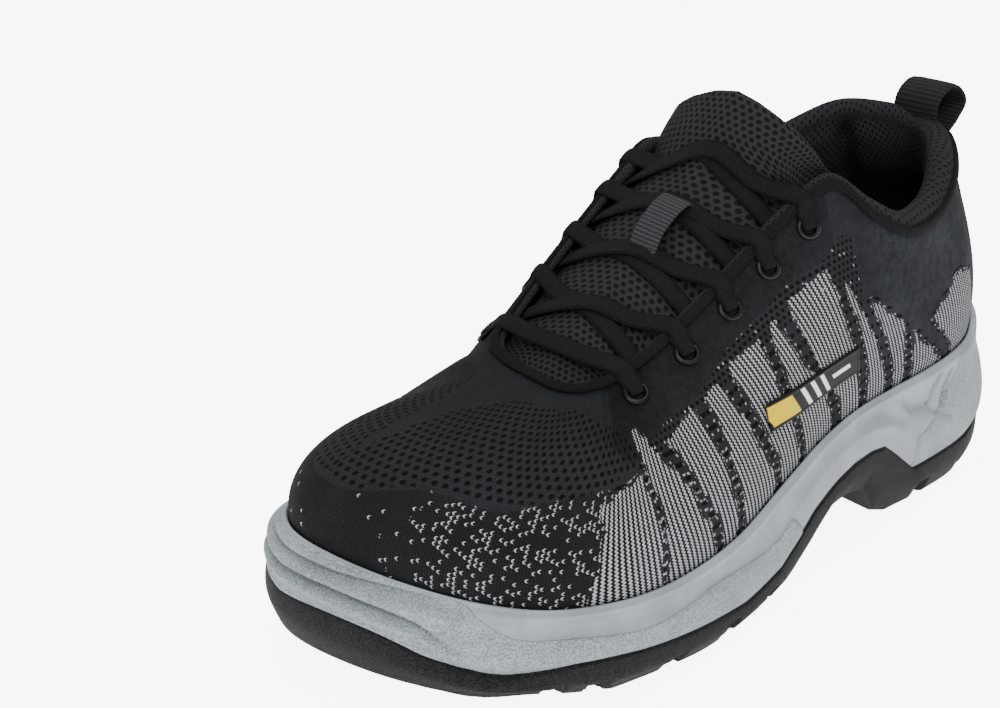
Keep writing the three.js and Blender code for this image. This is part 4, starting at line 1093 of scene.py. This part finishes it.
def build_midsole():
    """Rings: seat, side face with its relief, lip, cup wall down to the bed; closed by caps to the middle."""
    around, rows = 900, 84
    u = steps_round(around)
    y, rim = foot(u)[:, 1], section(2, u) * HEEL
    start = (joint(u) - sole(4, y)) / side_height(u)
    uu, vv = np.meshgrid(u, np.linspace(0, 1, rows))
    up = blend(start, 1.0, vv)
    relief, grained, dark = side_relief(uu, up)
    share = toe_share(uu)
    rolls = toe_profile(uu, up) - np.interp(up, FACE[:, 0], FACE[:, 1])
    ends = ease((up - start) / 0.06) * ease((1 - up) / 0.06)
    offset = face_offset(up, uu) + share * rolls + relief * (1 - share) * ends
    side = sole_point(uu, offset, blend(sole(4, y) + GAP, rim, up))
    seat = sole_point(u, face_offset(0 * u, u) - CUP - 1.2 - 1.5 * GAP, sole(2, y) + GAP)
    lip_shape = ((1.5, 0.3), (GAP + 0.9, 0.5), (GAP + 0.4, 0.4), (GAP, -0.4))     # out, above the rim
    lip = [sole_point(u, 0 * u + a, rim + b) for a, b in lip_shape]
    wall_shape = ((GAP - 0.4, 0.5), (GAP - 1.2, 1.0))                            # out, share of the way down
    cup = [sole_point(u, 0 * u + a, blend(rim, sole(3, y), b)) for a, b in wall_shape]
    shares = (0.25, 0.5, 0.75, 1.0)
    below = closed_over(seat, shares[::-1]) + [seat]
    rings = np.array(below + [*side, *lip, *cup] + closed_over(cup[-1], shares))
    faces, _ = corners(len(rings), around, around=True)
    pad = lambda m: np.pad(m, ((len(below), len(rings) - len(below) - rows), (0, 0)))
    # crease: painted shade in the heel's crease and slots, none round the toe
    marks = {"grained": pad(ease(grained / 0.8 + 0.5)), "crease": pad(dark * (1 - share))}
    piece("midsole", rings, faces, FOAM, ["midsole"], marks=marks, weld=True)


build_midsole()

# Outsole
CROSS = [(0.178, 3), (0.222, 3.5), (0.311, 4), (0.396, 4), (0.471, 4), (0.79, 4), (0.886, 4)]  # along, wide
ALONG = [(-0.173 * BALL, -0.33, -0.04), (0.192 * BALL, -0.33, -0.04), (2, 0.25, 0.5)]         # side, from, to
GROOVE, NOTCH, NOTCH_WIDER = 4.2, 7.6, 3.2        # depth in the tread, height and widening on the wall (mm)


def ball_edge(u):
    """Rounding of the tread's edge beside the ball, 0 to 1."""
    k = mirror(u)
    return ease((k - 2.6) / 1.2) * (1 - ease((k - 5) / 1.6))


def build_outsole():
    """Rings: tread edge, side wall up to the joint, bowl; grooves lift the tread's points to their roof."""
    around = 1100
    u = steps_round(around)
    y = foot(u)[:, 1]
    face, toe, ball = face_offset(0 * u, u), toe_share(u), ball_edge(u)
    ground, split = sole(1, y), joint(u)
    knots = np.array([
        [face - 4 + 2.4 * toe - 4.5 * ball, ground],
        [face - 2.6 + 2.2 * toe - 2.6 * ball, ground + 0.5 + 0.5 * ball],
        [face - 1.5 + 2 * toe - 1.4 * ball, ground + 2.4 + 2 * ball],
        [face + 0.9 + 1.6 * toe, blend(ground, split, 0.55)],
        [face + 0.9 + 0.9 * toe, split - 1.2],
        [face + 0.2, split - 0.1],
        [face - 0.6, split],
        [face - CUP - 1.2, sole(2, y)]])
    lines = through(knots, np.linspace(0, len(knots) - 1, 34))
    wall_rings = [sole_point(u, a, b) for a, b in lines]
    shares = np.linspace(0, 1, 25)[1:]
    rings = closed_over(wall_rings[0], shares[::-1]) + wall_rings + closed_over(wall_rings[-1], (0.5, 1.0))
    rings, n = np.array(rings), len(shares)
    tread = slice(0, n + 18)
    px, py, pz = (rings[tread, :, a] for a in range(3))
    roof = np.zeros_like(pz)
    on_wall = ease((np.arange(len(pz)) - n + 4) / 6)[:, None]
    for along, wide in CROSS:
        far = np.abs(py - (along - 0.5) * LENGTH)
        roof = np.maximum(roof, ease(((wide + NOTCH_WIDER * on_wall) / 2 - far) / 0.8 + 0.5))
    for side, front, back in ALONG:
        here = ease((py - front * LENGTH) / 2 + 0.5) * ease((back * LENGTH - py) / 2 + 0.5)
        roof = np.maximum(roof, ease((2 - np.abs(px - side)) / 1.5 + 0.5) * here)
    rings[tread, :, 2] = np.maximum(pz, sole(1, py) + blend(GROOVE, NOTCH, on_wall) * roof * (roof > 0.02))
    faces, _ = corners(len(rings), around, around=True)
    worn = np.zeros(rings.shape[:2])
    worn[n:n + 12] = trough(np.arange(12), 5, 3)[:, None]
    piece("outsole", rings, faces, RUBBER, ["outsole"], marks={"worn": worn}, weld=True)


build_outsole()

# Insole
FOOTBED = finish("footbed cloth", tape(linear(30, 30, 32), linear(62, 62, 65), 0.9))


def build_insole():
    """Footbed on the floor of the cup: rings of a rounded edge, closed towards the middle."""
    u = steps_round(320)
    y = foot(u)[:, 1]
    inset, bed = -(TOE_WALL + 2), sole(3, y) + GAP
    shape = [(inset - 1.8, 0), (inset, 1.6), (inset, 4.6), (inset - 0.6, 5.2), (inset - 2.5, 4.4)]
    rings = [sole_point(u, 0 * u + a, bed + b) for a, b in shape]
    rings = closed_over(rings[0], (1.0, 0.5)) + rings + closed_over(rings[-1], (0.2, 0.4, 0.6, 0.8, 1.0))
    rings = np.array(rings)
    faces, chart_faces = corners(len(rings), len(u), around=True)
    chart = np.concatenate([rings, rings[:, :1]], 1)[..., :2]
    piece("insole", rings, faces, FOOTBED, ["insole"], chart, chart_faces, weld=True)


build_insole()


# Tongue
TONGUE_THICK, TONGUE_SWELL, TONGUE_TUCK = 5.0, 2.2, 2.1    # pad, swelling of its end, depth under facings
FACE_ROWS, FACE_COLS = 179, 60     # squares of the grid that carries keeper and lace


def centripetal(points, s):
    """Catmull-Rom through five points with knots spaced by the root of their distance; s from 0 to 1."""
    p = np.asarray(points, float)
    p = np.concatenate([2 * p[:1] - p[1:2], p, 2 * p[-1:] - p[-2:-1]])
    i, t = cell(np.clip(s, 0, 1) * 4, 4)
    a, b, c, d = (p[i + k] for k in range(4))
    gap = lambda m, n: np.sqrt(np.linalg.norm(n - m, axis=-1, keepdims=True))
    ab, bc, cd = gap(a, b), gap(b, c), gap(c, d)
    start = ((b - a) / ab - (c - a) / (ab + bc) + (c - b) / bc) * bc
    end = ((c - b) / bc - (d - b) / (bc + cd) + (d - c) / cd) * bc
    t = t[:, None]
    return b + start * t + (3 * (c - b) - 2 * start - end) * t**2 + (2 * (b - c) + start + end) * t**3


def tongue_row(k):
    """Five points across the tongue's face: tucked under the facings below, free above them."""
    if k < len(TUCK):
        outer, inner, *ridge = TUCK[k]
        under = [skin(u, t, -wall(u, t) - TONGUE_TUCK)
                 for u, t in ((inner, .84), (inner, .97), (outer, .97), (outer, .84))]
        return np.array([*under[:2], spot(*ridge), *under[2:]])
    row = TIP[k - len(TUCK)]
    points = []
    for w in (-1, -0.72, 0, 0.72, 1):
        out, back, fall = row[6:9] if w < 0 else row[3:6]
        hang = np.array([w * out * BALL, back * w * w * LENGTH, -fall * w * w * HEEL])
        points.append(spot(*row[:3]) + hang)
    return np.array(points)


TONGUE_END = len(TUCK) + len(TIP) - 1


def tongue_face(v, w):
    """Grid of points of the face: rows v (0 to TONGUE_END), columns w (-1 to 1)."""
    return through(np.array([centripetal(tongue_row(k), (w + 1) / 2) for k in range(TONGUE_END + 1)]), v)


def grid_normals(points):
    """Normals of a grid of points, from its rows and columns."""
    return unit(np.cross(np.gradient(points, axis=1), np.gradient(points, axis=0)))


def build_tongue():
    """Padded tongue: a superellipse laid along the face, swelling with one less the square of its width
    between its stitched edges; its tip is rounded as a quarter of a circle."""
    rows, sides = 110, 96
    v = np.linspace(0, TONGUE_END, rows)
    angle = full_turn(sides)
    w, deep = squared(np.cos(angle), 0.55), (1 - squared(np.sin(angle), 0.75)) / 2
    face = tongue_face(v, np.linspace(-1, 1, FACE_COLS + 1))
    normal = grid_normals(face)
    j, f = cell((w + 1) * FACE_COLS / 2, FACE_COLS)
    skin_points, n = (blend(grid[:, j], grid[:, j + 1], f[:, None]) for grid in (face, normal))
    n = unit(n)
    thick = TONGUE_THICK * (1 - 0.4 * np.abs(w) ** 4)[None, :] * (1 + 0.9 * ease((v - 6.6) / 1.2))[:, None]
    last = (v - TONGUE_END + 1).clip(0, 1)
    end = np.sqrt(np.clip(1 - last**2, 0, 1))[:, None]
    half = thick * (0.5 - deep)
    pillow = TONGUE_SWELL * (1 - w**2) * (deep < 0.5) * (1 - 0.5 * trough(np.abs(w), 0.93, 0.05))
    pillow = pillow * ease((v - 5.8) / 1.5)[:, None]
    rings = skin_points + n * ((half + pillow) * end - thick / 2)[..., None]
    middle = face[:, FACE_COLS // 2]
    ridge = middle[:, None]
    rings = ridge + (rings - ridge) * (1 - 0.42 * last**3)[:, None, None]
    x = np.append(w, w[0]) * 42 + 100 * (np.arange(sides + 1) > sides // 2)       # back apart from face
    chart = np.stack(np.broadcast_arrays(x[None, :], run_along(middle)[:, None]), -1)
    first, last = (0 * ring + ring.mean(1, keepdims=True) for ring in (rings[:1], rings[-1:]))
    rings = np.concatenate([first, rings, last])
    chart = np.concatenate([chart[:1], chart, chart[-1:]])
    faces, chart_faces = corners(len(rings), sides, around=True)
    piece("tongue", rings, faces, TONGUE_FACE, ["tongue"], chart, chart_faces, weld=True)


build_tongue()
FACE_GRID = tongue_face(np.linspace(0, TONGUE_END, FACE_ROWS + 1), np.linspace(-1, 1, FACE_COLS + 1))
FACE_NORMALS = grid_normals(FACE_GRID)


def tongue_at(v, w, off):
    """Points off the tongue's face along its normal."""
    i = np.clip(np.round(v / TONGUE_END * FACE_ROWS).astype(int), 0, FACE_ROWS)
    j = np.clip(np.round((w + 1) * FACE_COLS / 2).astype(int), 0, FACE_COLS)
    return FACE_GRID[i, j] + FACE_NORMALS[i, j] * off[..., None], FACE_NORMALS[i, j]


# Binding round the throat and collar
BINDING_GIRTH = 9                  # mm


def edge_back(u, back):
    """Share of height that lies back (mm) below the top edge."""
    return 1 - back / (np.linalg.norm(arc(u, 1.0) - arc(u, 0.9), axis=-1) / 0.1)


def build_binding():
    """A tube of superellipse section over the outer face along the top edge, with a small sine ripple."""
    around, sides = 1600, 12
    u = steps_round(around)
    run = way_round(u)
    ripple = 0.03 * np.sin(2 * np.pi * run / 1.5)
    rings = []
    for a in full_turn(sides):
        back = 1.6 - 1.9 * squared(np.cos(a), 0.7)
        out = GAP + 0.62 + (0.62 + ripple + 1.1 * (np.sin(a) < -0.1)) * np.sin(a)
        rings.append(skin(u, edge_back(u, back), out))
    rings = np.array(rings)
    faces, chart_faces = corners(sides, around, around=True, over=True)
    girth = np.linspace(0, BINDING_GIRTH, sides + 1)
    chart = np.stack(np.broadcast_arrays(girth[:, None], np.append(run, CHART_ROUND)), -1)
    piece("edge_binding", rings, faces, TRIM, ["edge_binding"], chart, chart_faces)


build_binding()

# Eyelets
EYELET_BACK, EYELET_OUT, EYELET_BORE = 9.0, 4.1, 2.3


def eyelet_at(side, i):
    """Centre on the outer face and direction of an eyelet."""
    u = np.array(EYELETS[side][i], float)
    t = edge_back(u, EYELET_BACK)
    return arc(u, t), across(u, t)


def build_eyelet(side, i):
    """Ring turned about the eyelet's direction from an outline (radius, height): a barrel and a flange."""
    p, n = eyelet_at(side, i)
    a = unit(np.cross((0.0, 0.0, 1.0), n))
    b = np.cross(n, a)
    bore, flange = EYELET_BORE, EYELET_OUT
    outline = np.array([(bore, -WALL - 1.2), (bore + 0.5, -WALL - 1.2), (bore + 0.5, GAP),
                        (flange - 0.2, GAP + 0.05), (flange, GAP + 0.35), (flange - 0.15, GAP + 0.75),
                        (flange - 0.7, GAP + 1.1), (flange - 1.2, GAP + 1.1), (bore + 0.25, GAP + 0.8),
                        (bore, GAP + 0.3)])
    share = (np.arange(6) / 6)[None, :, None]
    line = blend(outline[:, None], np.roll(outline, -1, axis=0)[:, None], share).reshape(-1, 2)
    angle = full_turn(48)[:, None]
    rings = p + line[:, None, :1] * (np.cos(angle) * a + np.sin(angle) * b) + line[:, None, 1:] * n
    faces, _ = corners(len(line), len(angle), around=True, over=True)
    name = f"eyelet_{side}_{i + 1}"
    piece(name, rings, faces, METAL, [name])


for row_side in ("outer", "inner"):
    for number in range(5):
        build_eyelet(row_side, number)


# Lace
def tongue_height(point):
    """Height of the tongue's face under a point, and its normal there."""
    far = np.hypot(FACE_GRID[..., 0] - point[0], FACE_GRID[..., 1] - point[1])
    i, j = np.unravel_index(np.argmin(far), far.shape)
    return FACE_GRID[i, j, 2], FACE_NORMALS[i, j]


def over_edge(side, i, start):
    """Knots over the edge of a facing, near where the straight way from start to the eyelet crosses it, and
    down through the eyelet: points, normals, widths."""
    p, n = eyelet_at(side, i)
    tries = EYELETS[side][i] + np.linspace(-1.6, 1.6, 65)
    rim_line = skin(tries, 1.0, 1.5)
    way = (p - start)[:2]
    off = rim_line[:, :2] - start[:2]
    far = np.abs(way[0] * off[:, 1] - way[1] * off[:, 0])
    u = blend(tries[np.argmin(far)], EYELETS[side][i], 0.4)
    rim, rim_n = skin(u, 1.0, 1.5), across(u, 1.0)
    near_u = blend(u, EYELETS[side][i], 0.5)
    half, half_n = skin(near_u, edge_back(near_u, 4.8), 1.5), across(near_u, 0.96)
    through_it = [(p + n * high, n, wide) for high, wide in ((1.5, 0.80), (-0.6, 0.55), (-3.6, 0.5))]
    return [(rim, rim_n, 1.0), (half, half_n, 1.0), *through_it]


def under_edge(side, i, shift):
    """Knots from below an eyelet out under the facing's edge, shifted along it by steps."""
    u = np.array(EYELETS[side][i] + (shift if side == "outer" else -shift), float)
    deep = skin(u, edge_back(u, 5.0), -wall(u, 0.97) - 1.05)
    rim = skin(u, edge_back(u, 0.3), -wall(u, 1.0) - 0.95)
    return [(deep, across(u, 0.97), 0.85), (rim, across(u, 0.99), 1.0)]


def across_tongue(start, end, lift):
    """Knots over the tongue between two edges, laid on it and lifted in the middle where tapes cross."""
    a, b = start[0], end[0]
    knots = []
    for s in (0.25, 0.5, 0.75):
        p = blend(a, b, s)
        z, n = tongue_height(p)
        span = blend(a[2], b[2], s)
        p[2] = max(z + LACE_THICK / 2 + 0.2 + lift * (1 - abs(2 * s - 1) ** 2), span - 0.6)
        knots.append((p, n, 1.0))
    return knots


def chain(side):
    """From the bar's middle over the first eyelet of a side, then a crossing to each next one."""
    other = {"outer": "inner", "inner": "outer"}
    route = over_edge(side, 0, eyelet_at(other[side], 0)[0])
    here = side
    for i in range(1, 5):
        leave = under_edge(here, i - 1, 0.42)
        there = other[here]
        arrive = over_edge(there, i, leave[-1][0])
        on_top = here == "inner"
        route += leave + across_tongue(leave[-1], arrive[0], 1.45 if on_top else 0.05) + arrive
        here = there
    return route


first, second = chain("inner"), chain("outer")
knots = first[::-1] + across_tongue(first[0], second[0], 0.6) + second
path, _, at_knot = spline(np.array([k[0] for k in knots]), 2600)
lower, share = cell(at_knot, len(knots) - 1)
knot_normals, knot_wide = np.array([k[1] for k in knots]), np.array([k[2] for k in knots])
normals = unit(blend(knot_normals[lower], knot_normals[lower + 1], ease(share)[:, None]))
wide = LACE_WIDE * blend(knot_wide[lower], knot_wide[lower + 1], ease(share))
thick = LACE_THICK * (1 + 0.5 * (1 - wide / LACE_WIDE))
lace_rings, lace_chart = ribbon(path, normals, wide, thick, sides=20, crown=0.06)
lace_faces, lace_chart_faces = corners(len(lace_rings), 20, around=True)
piece("lace", lace_rings, lace_faces, LACE_WEAVE, ["lace"], lace_chart, lace_chart_faces, weld=True)

# Webbing: keeper on the tongue and pull loop at the heel
KEEPER_WIDE, KEEPER_THICK, LOOP_WIDE, LOOP_THICK = 10.5, 1.4, 18.0, 1.6


def ribbed_band(name, knots, normals_at, wide, thick, finish_of, ribs):
    """Webbing along knots: a ribbon whose thickness follows a cosine of its length, as cross ribs."""
    line, run, where = spline(knots, 420)
    i, share = cell(where, len(knots) - 1)
    n = unit(blend(normals_at[i], normals_at[i + 1], share[:, None]))
    rings, chart = ribbon(line, n, wide, thick * (1 + 0.16 * np.cos(2 * np.pi * run / ribs)), sides=20)
    faces, chart_faces = corners(len(rings), 20, around=True)
    piece(name, rings, faces, finish_of, [name], chart, chart_faces, weld=True)


keeper_rows = np.array([(3.82, 1.1), (3.94, 1.6), (4.1, 3.9), (4.3, 5), (4.65, 5), (4.88, 3.6), (5, 1.4)])
keeper_points, keeper_normals = tongue_at(keeper_rows[:, 0], 0.04 + 0 * keeper_rows[:, 0], keeper_rows[:, 1])
ribbed_band("lace_keeper", keeper_points, keeper_normals, KEEPER_WIDE, KEEPER_THICK, WEBBING, 1.3)

LOOP = np.array([                  # along, high
    (.9195, .972), (.9262, .985), (.9354, 1.0041), (.9483, 1.0488), (.9361, 1.0894), (.9197, 1.1041),
    (.9034, 1.0911), (.8932, 1.065), (.8906, 1.035), (.8915, 1.0)])
loop_points = spot(0 * LOOP[:, 0], *LOOP.T)
loop_normals = np.cross(unit(np.gradient(loop_points, axis=0)), (1.0, 0, 0))
ribbed_band("pull_loop", loop_points, loop_normals, LOOP_WIDE, LOOP_THICK, LOOP_TAPE, 1.6)

# Plain patch on the outer quarter
PATCH_LONG, PATCH_HIGH = 38, 9     # mm


def build_patch():
    """Thin moulded patch on the knit between two slanting lines, raised by smooth steps to its rim and down
    inside it; its chart runs from 0 to 1 each way."""
    cols, rows = 90, 40
    x, y = np.meshgrid(np.linspace(0, 1, cols), np.linspace(0, 1, rows))
    u = blend(7.65, 9.9, x)
    bow = 0.12 * x * (1 - x)
    low, high = blend(0.292, 0.179, x) - bow, blend(0.412, 0.284, x) - bow
    edge_mm = np.minimum(np.minimum(x, 1 - x) * PATCH_LONG, np.minimum(y, 1 - y) * PATCH_HIGH)
    rise = 0.25 + 0.5 * ease(edge_mm / 0.5) - 0.12 * ease((edge_mm - 0.9) / 0.4)
    under, top = (skin(u, blend(low, high, y), GAP + off) for off in (0, rise))
    rings = np.concatenate([under, top[::-1]])
    faces, chart_faces = corners(len(rings), cols, over=True)
    chart = np.stack([x, y], -1)
    chart = np.concatenate([chart, chart[::-1], chart[:1]])
    piece("side_patch", rings, faces, PATCH, ["side_patch"], chart, chart_faces)


def patch_print(tree):
    """Black matte face with one plain yellow block and plain white bars."""
    x, y = chart_axes(tree)
    lean = x + y * 0.1
    bar = lambda a, b: lean.rise(a - 0.004, a + 0.004) * lean.rise(b + 0.004, b - 0.004)
    tall = y.rise(0.12, 0.16) * y.rise(0.88, 0.84)
    yellow = bar(0.04, 0.31) * tall
    dash = bar(0.70, 0.92) * y.rise(0.42, 0.46) * y.rise(0.62, 0.58)
    white = bar(0.39, 0.43).high(bar(0.49, 0.53)).high(bar(0.59, 0.63)).high(dash) * tall
    grain = fuzz(tree, 900.0)
    colour = paint(tree, grain, linear(8, 8, 9), linear(16, 16, 18))
    colour = paint(tree, yellow, colour, linear(216, 184, 0))
    colour = paint(tree, white, colour, linear(236, 236, 236))
    return colour, 0.5, (yellow + white) * 0.12 + grain * 0.03


PATCH = finish("printed patch", patch_print, Specular_IOR_Level=0.15)
build_patch()

# Floor, light and camera
FLOOR_GLOW, FLOOR_SEEN = 1.1, 6.0     # the floor's own light, and what the camera sees of it beyond that
AIM = Vector((0, 0, 0.05))            # where the lamps point (m)
EYE, RIGHT, UP = (Vector(v) for v in ((0.30381, -0.3271, 0.2602), (0.63608, 0.77162, -0.004),
                                      (-0.30721, 0.25799, 0.916)))     # the camera fitted to the photo (m)
floor_mesh = bpy.data.meshes.new("floor")
floor_mesh.from_pydata([(-3, -3, 0), (3, -3, 0), (3, 3, 0), (-3, 3, 0)], [], [(0, 1, 2, 3)])
floor = bpy.data.objects.new("floor", floor_mesh)
floor.location.z = -0.0002
bpy.context.scene.collection.objects.link(floor)
floor_mesh.materials.append(finish("paper floor", lambda tree: (linear(246, 246, 247), 0.8, None),
                                   Emission_Color=(1, 1, 1, 1)))
paper = floor_mesh.materials[0].node_tree
seen = Wire(paper, paper.nodes.new("ShaderNodeLightPath").outputs["Is Camera Ray"])
feed(paper, paper.nodes["Principled BSDF"].inputs["Emission Strength"], seen * FLOOR_SEEN + FLOOR_GLOW)


def light(name, place, size, power):
    """A soft square lamp of the given size (m) and power (W)."""
    data = bpy.data.lights.new(name, "AREA")
    data.size, data.energy = size, power
    obj = bpy.data.objects.new(name, data)
    obj.location = place
    obj.rotation_euler = (AIM - obj.location).to_track_quat("-Z", "Y").to_euler()
    bpy.context.scene.collection.objects.link(obj)


light("key", (0.9, -0.55, 1.3), 0.9, 19)
light("fill", (0.6, -1.5, 0.7), 1.2, 8)
light("top", (-0.4, 0.4, 1.5), 1.2, 16)

world = bpy.data.worlds.new("studio")
world.use_nodes = True
world.node_tree.nodes["Background"].inputs["Color"].default_value = (1, 1, 1, 1)
world.node_tree.nodes["Background"].inputs["Strength"].default_value = 0.55
bpy.context.scene.world = world

camera_data = bpy.data.cameras.new("camera")
camera_data.lens, camera_data.sensor_width = 54.0, 36.0
camera = bpy.data.objects.new("camera", camera_data)
turn = Matrix((RIGHT, UP, RIGHT.cross(UP))).transposed()
camera.matrix_world = Matrix.Translation(EYE) @ turn.to_4x4()
camera_data.clip_start, camera_data.clip_end = 0.01, 20
bpy.context.scene.collection.objects.link(camera)
bpy.context.scene.camera = camera
